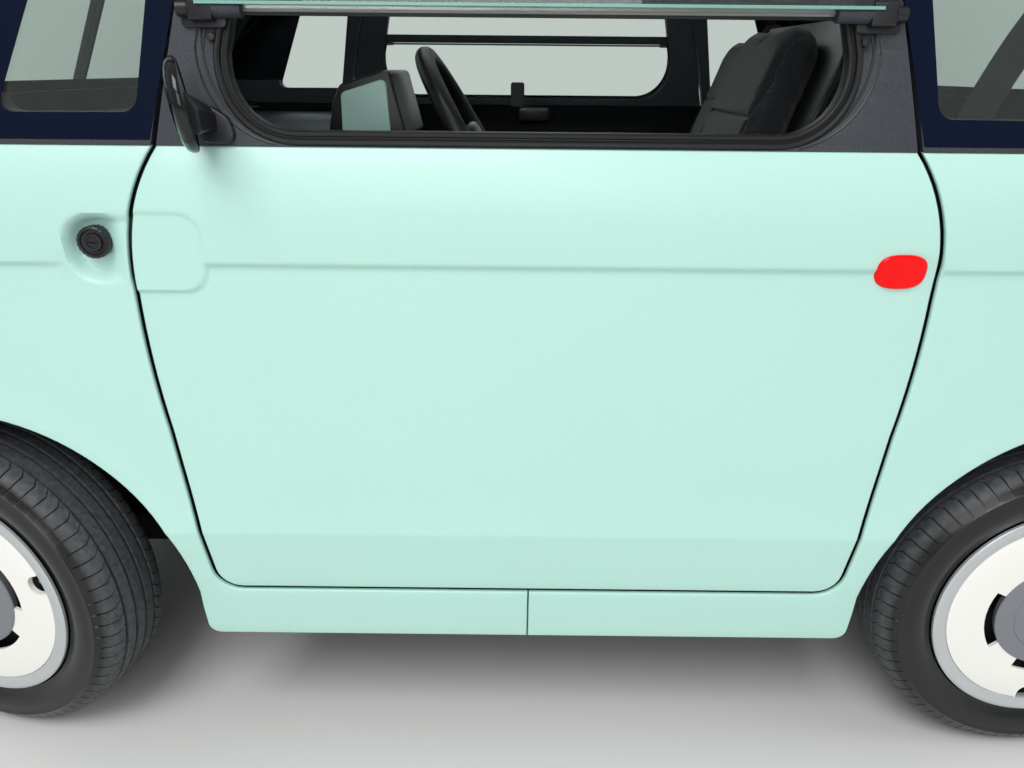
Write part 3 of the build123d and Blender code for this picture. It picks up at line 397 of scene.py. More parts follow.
def polygon(name, outline, fill="NGON"):
    """A flat outline in the X-Z plane, filled or as a chain of edges; points may have three coordinates."""
    bpy.ops.mesh.primitive_circle_add(vertices=len(outline), fill_type=fill)
    obj = bpy.context.object
    obj.name = name
    for vertex, place in zip(obj.data.vertices, outline):
        vertex.co = place if len(place) == 3 else (place[0], 0.0, place[1])
    return obj


def outwards(obj):
    """Merges doubles of a closed shape and turns its faces outwards."""
    open_whole(obj)
    bpy.ops.mesh.remove_doubles(threshold=MERGE)
    bpy.ops.mesh.normals_make_consistent(inside=False)
    close()
    return obj


def plate(name, outline, depth=WALL, rim=RIM, lip=0.0, finishes=()):
    """A flat closed plate, its face at y = 0 with a rounded rim and its back at y = -depth.

    Deeper than its lip, the edge and the back have the second finish."""
    obj = polygon(name, outline)
    open_whole(obj)
    for reach in (lip, depth - lip) if lip else (depth,):
        bpy.ops.mesh.extrude_region_move(TRANSFORM_OT_translate={"value": (0.0, -reach, 0.0)})
    outwards(obj)
    for finish in finishes:
        obj.data.materials.append(bpy.data.materials[finish])
    # With a black second finish, the edge deeper than the lip is painted shade in the gap
    if lip:
        for face in obj.data.polygons:
            face.material_index = int(face.center.y < -lip)
    if rim:
        clear_edges(obj)
        for edge in obj.data.edges:
            edge.select = all(abs(obj.data.vertices[v].co.y) < MERGE for v in edge.vertices)
        reopen()
        bpy.ops.mesh.bevel(offset=rim, segments=3, affect="EDGES", clamp_overlap=False)
        close()
    return obj


def cut_grid(obj, xs, zs):
    """Cuts a plate along upright and level lines, so that it can bend."""
    only(obj)
    reopen()
    for axis, places in (((1, 0, 0), xs), ((0, 0, 1), zs)):
        for place in places:
            bpy.ops.mesh.select_all(action="SELECT")
            bpy.ops.mesh.bisect(plane_co=[a * place for a in axis], plane_no=axis)
    close()


def spread(low, high, step, *dense):
    """Even places between two ends, and more in each dense stretch of (low, high, step)."""
    places = {round(low + step * i, 5) for i in range(1, int((high - low) / step))}
    for start, end, fine in dense:
        places |= {round(start + fine * i, 5) for i in range(int(round((end - start) / fine)) + 1)}
    return sorted(places)


def bend(obj, skin, back_skin=None):
    """Bends a plate onto a skin, keeping its thickness; its back may follow a plainer skin."""
    for vertex in obj.data.vertices:
        x, depth, z = vertex.co
        target = back_skin if back_skin and depth < -BACK_DEPTH else skin
        vertex.co.y = target(x, z) + depth


def apply(obj, kind, **settings):
    """Adds a modifier with its settings and applies it."""
    only(obj)
    modifier = obj.modifiers.new(kind.title(), kind)
    for name, value in settings.items():
        setattr(modifier, name, value)
    bpy.ops.object.modifier_apply(modifier=modifier.name)
    return obj


def lattice(name, columns, rows, place):
    """A sheet of columns by rows vertices, each where place(column, row) puts it."""
    bpy.ops.mesh.primitive_grid_add(x_subdivisions=columns - 1, y_subdivisions=rows - 1)
    obj = bpy.context.object
    obj.name = name
    for index, vertex in enumerate(obj.data.vertices):
        row, column = divmod(index, columns)
        vertex.co = place(column, row)
    return obj


def copy_of(obj, name, matrix=None):
    """A copy with its own mesh, moved by a matrix; a mirrored one is turned right side out."""
    twin = obj.copy()
    twin.data = obj.data.copy()
    twin.name = name
    bpy.context.collection.objects.link(twin)
    if matrix:
        twin.data.transform(matrix)
        if matrix.determinant() < 0:
            twin.data.flip_normals()
    return twin


def mates(obj, matrix, here="left", there="right"):
    """A piece and its copy on the other side, named with that side's word."""
    return obj, copy_of(obj, obj.name.replace(here, there), matrix)


def join(pieces, name):
    """Makes one object of several."""
    only(pieces[0])
    for piece in pieces:
        piece.select_set(True)
    bpy.ops.object.join()
    pieces[0].name = name
    return pieces[0]


def bead(name, points, radius, rounds=2):
    """A round bead or rod along an open chain of points, closed by a cap at each end."""
    obj = polygon(name, points, "NOTHING")
    clear_edges(obj)
    last = len(points) - 1
    for edge in obj.data.edges:
        edge.select = set(edge.vertices) == {0, last}
    reopen()
    bpy.ops.mesh.delete(type="EDGE_FACE")
    close()
    only(obj)
    bpy.ops.object.convert(target="CURVE")
    obj = bpy.context.object
    obj.data.bevel_depth = radius
    obj.data.bevel_resolution = rounds
    obj.data.use_fill_caps = True
    bpy.ops.object.convert(target="MESH")
    return bpy.context.object


def sweep(name, path, section, place):
    """A moulding of one section along a flat open path; the section's points are (outward, proud)."""
    last = len(path) - 1
    outward = []
    for i in range(len(path)):
        run = Vector(path[min(i + 1, last)]) - Vector(path[max(i - 1, 0)])
        outward.append(Vector((-run.y, run.x)).normalized())
    loop = list(section) + [section[0]]

    def spot(column, row):
        flat = Vector(path[column]) + outward[column] * loop[row][0]
        return place(flat.x, flat.y, loop[row][1])

    obj = lattice(name, len(path), len(loop), spot)
    open_whole(obj)
    bpy.ops.mesh.remove_doubles(threshold=MERGE)
    bpy.ops.mesh.fill_holes(sides=0)
    bpy.ops.mesh.normals_make_consistent(inside=False)
    close()
    return obj


def border(name, outer, inner, place):
    """A thin band between two outlines of as many points, laid on a surface."""
    rings = ([], [])
    for i, here in enumerate(outer):
        following = (i + 1) % len(outer)
        pieces = max(1, int((Vector(outer[following]) - Vector(here)).length / BORDER_STEP))
        for k in range(pieces):
            for ring_points, outline in zip(rings, (outer, inner)):
                ring_points.append(Vector(outline[i]).lerp(Vector(outline[following]), k / pieces))
    count = len(rings[0])
    obj = lattice(name, count + 1, 2, lambda column, row: place(*rings[row][column % count]))
    outwards(obj)
    apply(obj, "SOLIDIFY", thickness=BORDER_WALL, offset=0.0)
    return outwards(obj)


def aim(axis, origin):
    """The matrix that takes the Y axis to an axis through a point, with X level."""
    outward = Vector(axis).normalized()
    across = outward.cross(Vector((0, 0, 1))).normalized()
    up = across.cross(outward)
    return Matrix.Translation(origin) @ Matrix((across, outward, up)).transposed().to_4x4()


def lamp_place(side):
    """The matrix that puts a lamp turned about the Y axis on the nose, facing straight ahead of it."""
    y, z = LAMP_SPOT
    reach, _, _, bow_r, _, _ = end_section(z)
    turn = asin(y / bow_r)
    slope = (at_height(END_CHAIN, z - 0.05) - at_height(END_CHAIN, z + 0.05)) / 0.10
    x = reach - bow_r * (1 - cos(turn))
    return aim((cos(turn), side * sin(turn), slope), (x, side * y, z))


def lathe(name, profile, steps=96):
    """A closed ring turned about the Y axis from points of (y, radius)."""
    obj = polygon(name, [(radius, y, 0.0) for y, radius in profile], "NOTHING")
    open_whole(obj)
    bpy.ops.mesh.spin(steps=steps, angle=2 * pi, center=(0, 0, 0), axis=(0, 1, 0))
    close()
    return outwards(obj)


def dress(obj, finish, body="root", slot=None, nodes=(), angle=35, even=False):
    """Gives a finished piece its material and shading, ties it to its body and hides the nodes it stands for.
    Its slot is not used.
    """
    if not obj.data.materials:
        obj.data.materials.append(bpy.data.materials[finish])
    only(obj)
    bpy.ops.object.transform_apply(location=True, rotation=True, scale=True)
    bpy.ops.object.shade_smooth_by_angle(angle=radians(angle))
    if even:
        apply(obj, "WEIGHTED_NORMAL", keep_sharp=True)
    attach(obj, body)
    if nodes:
        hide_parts(*nodes)
    return obj


def smooth_copy(node, name, rim=0.0):
    """A copy of a construction node with its triangles merged, to be shaded smooth."""
    obj = copy_of(frame["nodes"][node], name)
    obj.parent = None
    obj.data.materials.clear()
    open_whole(obj)
    bpy.ops.mesh.remove_doubles(threshold=2 * MERGE)
    bpy.ops.mesh.tris_convert_to_quads(face_threshold=radians(1), shape_threshold=radians(180))
    close()
    if rim:
        apply(obj, "BEVEL", width=rim, segments=2, limit_method="ANGLE", angle_limit=radians(40))
    return obj


def feed(tree, node, sockets):
    """Gives each named socket of a node its value, or its link from another node."""
    for socket, value in sockets.items():
        if isinstance(value, bpy.types.NodeSocket):
            tree.links.new(value, node.inputs[socket])
        else:
            node.inputs[socket].default_value = value


def add_node(tree, kind, sockets=None, **settings):
    """Adds a shader node with its settings and its sockets' values or links."""
    node = tree.nodes.new("ShaderNode" + kind)
    for name, value in settings.items():
        setattr(node, name, value)
    feed(tree, node, sockets or {})
    return node


def per_metre(size_mm):
    """A pattern's scale from the real size of its grain in millimetres."""
    return 1000.0 / size_mm


def per_band(size_mm):
    """A wave's scale from the distance between its bands, which are a third of a metre apart at 1."""
    return per_metre(size_mm) / pi


def darker(tone, share):
    """A colour with its brightness multiplied."""
    return [channel * share for channel in tone[:3]] + [1.0]


def surface(name):
    """A new material: its tree, shader and object coordinates."""
    material = bpy.data.materials.new(name)
    material.use_nodes = True
    tree = material.node_tree
    shader = next(node for node in tree.nodes if node.type == "BSDF_PRINCIPLED")
    place = add_node(tree, "TexCoord").outputs["Object"]
    return tree, shader, place


def grained(name, base, shade, roughness, grain_mm, depth_mm, settings):
    """A moulded, painted or cast surface: fine grain as bump, slow clouds and the grain in its colour."""
    tree, shader, place = surface(name)
    clouds = add_node(tree, "TexNoise", {"Vector": place, "Scale": per_metre(CLOUD_MM), "Detail": 3.0})
    grain = add_node(tree, "TexNoise", {"Vector": place, "Scale": per_metre(grain_mm), "Detail": 2.0})
    flecks = add_node(tree, "MapRange", {0: grain.outputs["Fac"], 1: 0.35, 2: 0.65, 3: -0.5, 4: 0.5})
    share = add_node(tree, "Math", {0: clouds.outputs["Fac"], 1: flecks.outputs[0]}, operation="ADD")
    tint = add_node(tree, "Mix", {0: share.outputs[0], 6: base, 7: darker(base, shade)}, data_type="RGBA")
    gloss = add_node(tree, "MapRange", {0: clouds.outputs["Fac"], 1: 0.3, 2: 0.7, 3: roughness * 0.9,
                                        4: min(roughness * 1.12, 1.0)})
    bump = add_node(tree, "Bump", {"Height": grain.outputs["Fac"], "Distance": depth_mm / 1000,
                                   "Strength": 1.0})
    feed(tree, shader, {"Base Color": tint.outputs[2], "Roughness": gloss.outputs[0],
                        "Normal": bump.outputs[0], **settings})


def glazing(name, code):
    """Float glass: clear, faintly tinted, with soft waves too slight to see straight on."""
    tree, shader, place = surface(name)
    waves = add_node(tree, "TexNoise", {"Vector": place, "Scale": per_metre(160), "Detail": 1.0})
    bump = add_node(tree, "Bump", {"Height": waves.outputs["Fac"], "Distance": 0.0004, "Strength": 0.6})
    feed(tree, shader, {"Normal": bump.outputs[0], "Base Color": linear(code), "Roughness": 0.01,
                        "IOR": 1.5, "Transmission Weight": 1.0})


def knitted(name, base):
    """Knitted polyester: loops 2.4 mm apart, drawn coarse enough to show, with a soft sheen."""
    tree, shader, place = surface(name)
    rows, turned = [
        add_node(tree, "TexWave", {"Vector": place, "Scale": per_band(2.4), "Distortion": 1.5, "Detail": 1.0},
                 bands_direction=direction)
        for direction in ("X", "DIAGONAL")
    ]
    loops = add_node(tree, "Math", {0: rows.outputs["Fac"], 1: turned.outputs["Fac"]}, operation="MULTIPLY")
    clouds = add_node(tree, "TexNoise", {"Vector": place, "Scale": per_metre(60), "Detail": 4.0})
    shade = add_node(tree, "Math", {0: loops.outputs[0], 1: clouds.outputs["Fac"]}, operation="ADD")
    tint = add_node(tree, "Mix", {0: shade.outputs[0], 6: darker(base, 0.6), 7: base}, data_type="RGBA")
    bump = add_node(tree, "Bump", {"Height": loops.outputs[0], "Distance": 0.0008, "Strength": 0.8})
    feed(tree, shader, {"Base Color": tint.outputs[2], "Normal": bump.outputs[0], "Roughness": 0.85,
                        "Sheen Weight": 0.3})


def tyre_compound(name):
    """Carbon-black rubber: dressed and shiny on the sidewall, dusty grey on the tread it rolls on."""
    tree, shader, place = surface(name)
    tread = add_node(tree, "Attribute", attribute_name="tread").outputs["Fac"]
    dust = add_node(tree, "TexNoise", {"Vector": place, "Scale": per_metre(9), "Detail": 6.0})
    wear = add_node(tree, "Math", {0: tread, 1: dust.outputs["Fac"]}, operation="MULTIPLY")
    tint = add_node(tree, "Mix", {0: wear.outputs[0], 6: linear("0E0E0F"), 7: linear("626568")},
                    data_type="RGBA")
    gloss = add_node(tree, "MapRange", {0: tread, 1: 0.0, 2: 1.0, 3: 0.24, 4: 0.62})
    grain = add_node(tree, "TexNoise", {"Vector": place, "Scale": per_metre(1.8), "Detail": 3.0})
    bump = add_node(tree, "Bump", {"Height": grain.outputs["Fac"], "Distance": 0.0002, "Strength": 0.7})
    feed(tree, shader, {"Base Color": tint.outputs[2], "Roughness": gloss.outputs[0],
                        "Normal": bump.outputs[0]})


def lens(name, code, flute_mm):
    """Moulded acrylic: a clear or coloured dome whose broad, soft flutes break up what lies behind."""
    tree, shader, place = surface(name)
    flutes = add_node(tree, "TexWave", {"Vector": place, "Scale": per_band(flute_mm)},
                      bands_direction="Y", wave_profile="SIN")
    bump = add_node(tree, "Bump", {"Height": flutes.outputs["Fac"], "Distance": 0.0006, "Strength": 0.5})
    feed(tree, shader, {"Normal": bump.outputs[0], "Base Color": linear(code), "Roughness": 0.05,
                        "IOR": 1.49, "Transmission Weight": 0.85})


CLOUD_MM = 220  # size of the slow clouds in a surface's colour and gloss
METAL = {"Metallic": 1.0}
COATED = {"Coat Weight": 0.2, "Coat Roughness": 0.2}


def build_finishes(scene):
    """Makes every material. In the render one pixel covers over a millimetre of the side."""
    body, wheel, cabin = scene.car_body, scene.car_wheels, scene.car_cabin
    rows = (  # name, colour, shade of its clouds, roughness, grain in mm, depth in mm, other settings
        # ABS coloured in the mass and lacquered: one even pale tone under a soft, broad highlight
        ("mass_coloured_panel", body.paint, 0.96, 0.40, 1.6, 0.012, COATED),
        # Grained polypropylene, matt and stone-like. The real grain is under 1 mm; 2.2 mm lets it show
        ("grained_frame_plastic", body.frame, 0.62, 0.62, 2.2, 0.22, {}),
        # Moulded ABS, black and barely textured: a dim satin that shows its rounded edges
        ("smooth_black_plastic", linear("17181B"), 0.85, 0.38, 2.0, 0.02, {}),
        # Polished acrylic-faced ABS: black with sharp reflections
        ("gloss_black_plastic", linear("0B0C0E"), 0.95, 0.12, 6.0, 0.004, {}),
        # EPDM rubber, extruded: nearly black, with a dull line of light along each lip
        ("door_seal_rubber", linear("0E0F10"), 0.80, 0.50, 1.0, 0.05, {}),
        # Ceramic frit fired on the glass: deep blue-black under the pane's own gloss
        ("fired_glass_border", body.frit, 0.92, 0.20, 4.0, 0.003, {"Specular IOR Level": 0.16}),
        # Painted polyamide disc: warm white, smooth, softly shining at its rim
        ("cover_plastic", wheel.cover, 0.97, 0.34, 2.0, 0.01, {}),
        # Aluminium-flake lacquer on steel: a light grey that turns brighter towards the lamps
        ("silver_lacquer", linear("CFD2D4"), 0.93, 0.34, 0.6, 0.006, {"Metallic": 0.55}),
        # The same lacquer in mid grey on the hub cap, calmer and less metallic
        ("grey_cap_lacquer", linear("888B91"), 0.95, 0.36, 0.8, 0.006, {"Metallic": 0.35}),
        # Steel wheel, dipped black: a plain dark depth behind the cover's slots
        ("black_wheel_steel", linear("161719"), 0.80, 0.50, 1.4, 0.03, {}),
        # Powder-coated chassis steel: black, slightly orange-peeled, matt
        ("coated_frame_steel", linear("131416"), 0.80, 0.56, 1.2, 0.05, {}),
        # Zinc-plated steel: pale grey metal with faint spangles 3 mm across
        ("zinc_plated_steel", linear("A6A9A6"), 0.86, 0.38, 3.0, 0.02, METAL),
        # Sand-cast aluminium, painted black: rough, with no clear reflection
        ("painted_castings", linear("1C1E20"), 0.85, 0.60, 0.9, 0.12, {}),
        # A pane's ground edge: the glass seen along its width, green and frosted
        ("ground_glass_edge", linear("7FB3A8"), 0.85, 0.30, 1.5, 0.02, {}),
        # Stove enamel on a blank plate: flat, off-white, smooth
        ("plate_enamel", linear("D8DADB"), 0.97, 0.30, 3.0, 0.004, {}),
        # Vacuum-coated lamp bowl: a bright mirror, a little softened by its lacquer
        ("lamp_reflector", linear("C8CCD0"), 0.97, 0.12, 8.0, 0.002, METAL),
        # Chrome plate: the sharpest mirror on the body
        ("chromed_trim", linear("D6D8DA"), 0.97, 0.08, 8.0, 0.002, METAL),
        # Leather-grained dashboard skin: dark blue-grey, without shine
        ("dashboard_plastic", cabin.dash, 0.82, 0.66, 1.1, 0.14, {}),
        # Fine-grained leather over the steering wheel's foam: dark, worn to a low sheen
        ("grained_rim_leather", linear("17181A"), 0.80, 0.46, 1.6, 0.10, {}),
        # Woven polyester belt: dark, matt and even, with a thin sheen across it
        ("belt_webbing", linear("1D1E22"), 0.75, 0.70, 0.8, 0.10, {"Sheen Weight": 0.2}),
        # Red acrylic over a white prism foil: a saturated red that looks lit from within
        ("red_reflector", linear("FF0203"), 1.0, 0.16, 3.0, 0.05, {"Specular IOR Level": 0.25}),
        # Needled felt of the wheel arches: black and fluffy, it swallows the light
        ("felt_liner", linear("131416"), 0.70, 0.95, 1.5, 0.25, {}),
        # Light grey on the rail under the open pane: a painted highlight, standing in for the light that the
        # black bar catches
        ("window_rail_lacquer", linear("8C8D8B"), 0.90, 0.34, 1.0, 0.01, {"Metallic": 0.4}),
        # Silvered mirror glass: a clean mirror, barely greyed
        ("mirror_glass", linear("C9CED2"), 0.98, 0.03, 9.0, 0.001, METAL),
    )
    for name, base, shade, roughness, grain_mm, depth_mm, settings in rows:
        grained(name, list(base), shade, roughness, grain_mm, depth_mm, settings)
    glazing("tinted_float_glass", "DCE8E4")
    knitted("seat_knit", list(cabin.fabric))
    tyre_compound("tyre_compound")
    lens("clear_lamp_lens", "F4F7F8", 38.2)
    lens("red_lamp_lens", "C01414", 31.83)


class MICROCAR_OT_stage(bpy.types.Operator):
    """Sets the floor, the soft light and the camera at the photograph's angle"""
    bl_idname = "microcar.stage"
    bl_label = "Stage"

    # The camera's place, turn and focal length in millimetres, solved from the photograph
    place = Vector((0.02654, 1.76395, 1.0851))
    pitch, yaw, roll = radians(21.468), radians(0.130), radians(0.533)
    lens = 28.316
    lit_spot = Vector((0.0, 0.0, 0.6))

    def execute(self, context):
        scene = context.scene
        stage = scene.car_stage
        scene.view_settings.view_transform = "Standard"
        bpy.ops.mesh.primitive_plane_add(size=60, location=(0, 0, 0))
        floor = context.object
        floor.name = "floor"
        tree, shader, place = surface("pale_floor")
        tone = add_node(tree, "TexNoise", {"Vector": place, "Scale": 1.2, "Detail": 2.0})
        tint = add_node(tree, "Mix", {0: tone.outputs["Fac"], 6: stage.floor,
                                      7: darker(stage.floor, 0.97)}, data_type="RGBA")
        feed(tree, shader, {"Base Color": tint.outputs[2], "Roughness": 0.8})
        floor.data.materials.append(bpy.data.materials["pale_floor"])
        self.light(scene, stage)
        self.camera(scene)
        return {"FINISHED"}

    def light(self, scene, stage):
        """Even daylight, a large softbox high on the left side, and three weaker ones round the car."""
        world = bpy.data.worlds.new("soft_daylight")
        scene.world = world
        world.use_nodes = True
        tree = world.node_tree
        output = next(node for node in tree.nodes if node.type == "OUTPUT_WORLD")
        plain = next(node for node in tree.nodes if node.type == "BACKGROUND")
        feed(tree, plain, {0: (0.93, 0.96, 1.0, 1.0), 1: stage.daylight})
        shown = add_node(tree, "Background", {0: stage.floor, 1: 1.0})
        path = add_node(tree, "LightPath")
        seen = add_node(tree, "Math", {0: path.outputs["Is Camera Ray"],
                                       1: path.outputs["Is Transmission Ray"]}, operation="MAXIMUM")
        mix = add_node(tree, "MixShader", {0: seen.outputs[0], 1: plain.outputs[0], 2: shown.outputs[0]})
        tree.links.new(mix.outputs[0], output.inputs[0])
        rows = (  # name, place, size, power
            ("key", (1.2, 4.0, 5.2), 3.2, stage.key_power),
            ("front", (0.3, 4.7, 2.1), 2.0, stage.key_power * 0.17),
            ("fill", (-4.6, 1.0, 3.4), 3.0, stage.key_power * 0.32),
            ("back", (1.2, -4.6, 4.2), 4.0, stage.key_power * 0.40),
        )
        for name, place, size, power in rows:
            bpy.ops.object.light_add(type="AREA", location=place)
            lamp = bpy.context.object
            lamp.name = name
            lamp.data.size = size
            lamp.data.energy = power
            towards = self.lit_spot - Vector(place)
            lamp.rotation_euler = towards.to_track_quat("-Z", "Y").to_euler()

    def camera(self, scene):
        """The photograph's view, from close beside the door, looking down."""
        ahead = Vector((0, -cos(self.pitch), -sin(self.pitch)))
        right = Vector((-1, 0, 0))
        up = right.cross(ahead)
        turn = Matrix.Rotation(self.yaw, 3, "Z")
        ahead, right, up = turn @ ahead, turn @ right, turn @ up
        across = cos(self.roll) * right + sin(self.roll) * up
        upright = -sin(self.roll) * right + cos(self.roll) * up
        bpy.ops.object.camera_add()
        camera = bpy.context.object
        camera.data.lens = self.lens
        axes = Matrix((across, upright, -ahead)).transposed().to_4x4()
        camera.matrix_world = Matrix.Translation(self.place) @ axes
        scene.camera = camera


def door_outline(grow=0.0):
    """The lower door's outline, or that of its opening, from the belt round the foot and up again."""
    low_x, wide_x, belt_x = (point[0] + grow for point in (DOOR_LOW, DOOR_WIDE, DOOR_BELT))
    bottom = DOOR_BOTTOM_Z - grow
    half = rounded([(0.0, bottom), (DOOR_FOOT_X + grow * 0.9, bottom), (low_x, DOOR_LOW[1])],
                   [0, DOOR_FOOT_R + grow, 0])[1:-1]
    half += arc((low_x, DOOR_LOW[1]), (wide_x - 0.005, 0.690), (wide_x, DOOR_WIDE[1]), 9)
    half += arc((wide_x, DOOR_WIDE[1]), (wide_x - 0.010, 0.896), (belt_x, DOOR_BELT[1]), 14)[1:]
    return half


def side_outline():
    """The front left panel's outline: sill, wheel arch, shut line, belt and door opening."""
    arch = rounded([(SILL_SPLIT_X, SILL_Z), (ARCH_FOOT[0] - 0.002, SILL_Z), ARCH_FOOT], [0, 0.020, 0])[1:]
    start = atan2(ARCH_START[1] - ARCH_Z, ARCH_START[0] - ARCH_X)
    end = atan2(ARCH_TOP_Z - ARCH_Z, SPLIT_X - ARCH_X)
    steps = 40
    for i in range(steps + 1):
        angle = start + (end - start) * i / steps
        arch.append((ARCH_X + ARCH_R * cos(angle), ARCH_Z + ARCH_R * sin(angle)))
    split = [(SPLIT_X, SPLIT_KNEE_Z)] + arc(SPLIT_BROW, SPLIT_MID, SPLIT_BELT, 20)
    opening = list(reversed(door_outline(SHUT_GAP)))
    return ([(SILL_SPLIT_X, SILL_Z)] + arch + split + opening
            + [(SILL_SPLIT_X, DOOR_BOTTOM_Z - SHUT_GAP)])


class MICROCAR_OT_side_panels(bpy.types.Operator):
    """Builds the four side panels, with the lock's dish in two of them"""
    bl_idname = "microcar.side_panels"
    bl_label = "Side panels"

    def execute(self, context):
        step = context.scene.car_body.mesh_step
        heights = spread(SILL_Z, BELT_Z, step, LOW_CREASE_CUTS, CREASE_CUTS)
        outline = side_outline()
        latch = plate("side_front_left_skin", outline, lip=LIP, finishes=FACE_AND_SHADED_LINING)
        cut_grid(latch, spread(0.0, SPLIT_X, step, DISH_CUTS_X),
                 sorted(set(heights) | set(spread(*DISH_CUTS_Z))))
        bend(latch, latch_skin, back_skin=body_skin)
        plain = plate("side_rear_left_skin", outline, lip=LIP, finishes=FACE_AND_SHADED_LINING)
        cut_grid(plain, spread(0.0, SPLIT_X, step), heights)
        plain.data.transform(FLIP_X)
        plain.data.flip_normals()
        bend(plain, body_skin)
        latch_twin = copy_of(latch, "side_rear_right_skin", HALF_TURN)
        plain_twin = copy_of(plain, "side_front_right_skin", HALF_TURN)
        for obj, node in ((latch, "side_front_left"), (plain, "side_rear_left"),
                          (latch_twin, "side_rear_right"), (plain_twin, "side_front_right")):
            dress(obj, "mass_coloured_panel", "root", "body_panel", [node])
        return {"FINISHED"}


class MICROCAR_OT_doors(bpy.types.Operator):
    """Builds both doors' outer panels"""
    bl_idname = "microcar.doors"
    bl_label = "Doors"

    cut_reach = 0.54

    def execute(self, context):
        step = context.scene.car_body.mesh_step
        half = door_outline()
        outline = half + [(-x, z) for x, z in reversed(half)]
        door = plate("door_left_skin", outline, lip=LIP, finishes=FACE_AND_SHADED_LINING)
        cut_grid(door, spread(-self.cut_reach, self.cut_reach, step, PAD_CUTS_X),
                 spread(DOOR_BOTTOM_Z, BELT_Z, step, LOW_CREASE_CUTS, PAD_CUTS_Z))
        twin = copy_of(door, "door_right_skin")
        bend(door, door_skin, back_skin=body_skin)
        bend(twin, door_skin, back_skin=body_skin)
        twin.data.transform(HALF_TURN)
        for obj, body in zip((door, twin), DOORS):
            node = obj.name.replace("skin", "panel")
            dress(obj, "mass_coloured_panel", body, "body_panel", [node])
        return {"FINISHED"}


class MICROCAR_OT_end_panels(bpy.types.Operator):
    """Builds the nose and the tail, which are the same panel with different lamps"""
    bl_idname = "microcar.end_panels"
    bl_label = "End panels"

    columns = 132
    row_step = 0.014
    skirt_cuts = (0.210, 0.264, 0.006)
    crease_cuts = (0.818, 0.848, 0.003)
    flank_y = 0.30
    hole_half_depth = 0.10
    hole_turns = 64

    def edge_x(self, z):
        """X of the panel's side edge: the shut line, and below it the wheel arch."""
        if z > ARCH_TOP_Z:
            return at_height(SPLIT_CHAIN, z) + PANEL_GAP
        on_arch = ARCH_X + sqrt(max(ARCH_R ** 2 - (z - ARCH_Z) ** 2, 0.0))
        return min(on_arch, ARCH_FLANK_X) + PANEL_GAP

    def clear_arches(self, panel):
        """Moves the inner wall out of the wheel arches, so that a steered tyre passes it."""
        for vertex in panel.data.vertices:
            if abs(vertex.co.y) > self.flank_y and vertex.co.z < ARCH_TOP_Z:
                vertex.co.x = max(vertex.co.x, self.edge_x(vertex.co.z))

    def holes(self, radius, turned):
        """Two round cutters where an end's lamps go."""
        deep = self.hole_half_depth
        holes = []
        for side in (1, -1):
            hole = lathe(f"hole_{side}", [(deep, radius), (deep, AXIS_R), (-deep, AXIS_R), (-deep, radius)],
                         self.hole_turns)
            hole.data.transform(turned @ lamp_place(side))
            holes.append(hole)
        return holes

    def execute(self, context):
        heights = [SILL_Z] + spread(SILL_Z, BELT_Z, self.row_step, self.skirt_cuts, self.crease_cuts)
        heights.append(BELT_Z)

        def place(column, row):
            z = heights[row]
            start, total = ring_place(self.edge_x(z), z)
            s = start + (2 * total - 2 * start) * column / (self.columns - 1)
            x, y = ring(s, z)
            return x, y, z

        panel = lattice("nose_skin", self.columns, len(heights), place)
        if sum(face.normal.x for face in panel.data.polygons) < 0:
            panel.data.flip_normals()
        for finish in FACE_AND_SHADED_LINING:
            panel.data.materials.append(bpy.data.materials[finish])
        apply(panel, "SOLIDIFY", thickness=WALL, offset=-1.0, material_offset=1)
        self.clear_arches(panel)
        apply(panel, "BEVEL", width=RIM, segments=2, limit_method="ANGLE", angle_limit=radians(50))
        rows = (  # panel, lamp hole's radius, turn
            (panel, HEADLAMP_R, AS_BUILT),
            (copy_of(panel, "tail_skin", HALF_TURN), TAIL_LAMP_R, HALF_TURN),
        )
        for obj, radius, turned in rows:
            carve(obj, self.holes(radius, turned))
            dress(obj, "mass_coloured_panel", "root", "body_panel", [obj.name.replace("skin", "panel")])
        return {"FINISHED"}


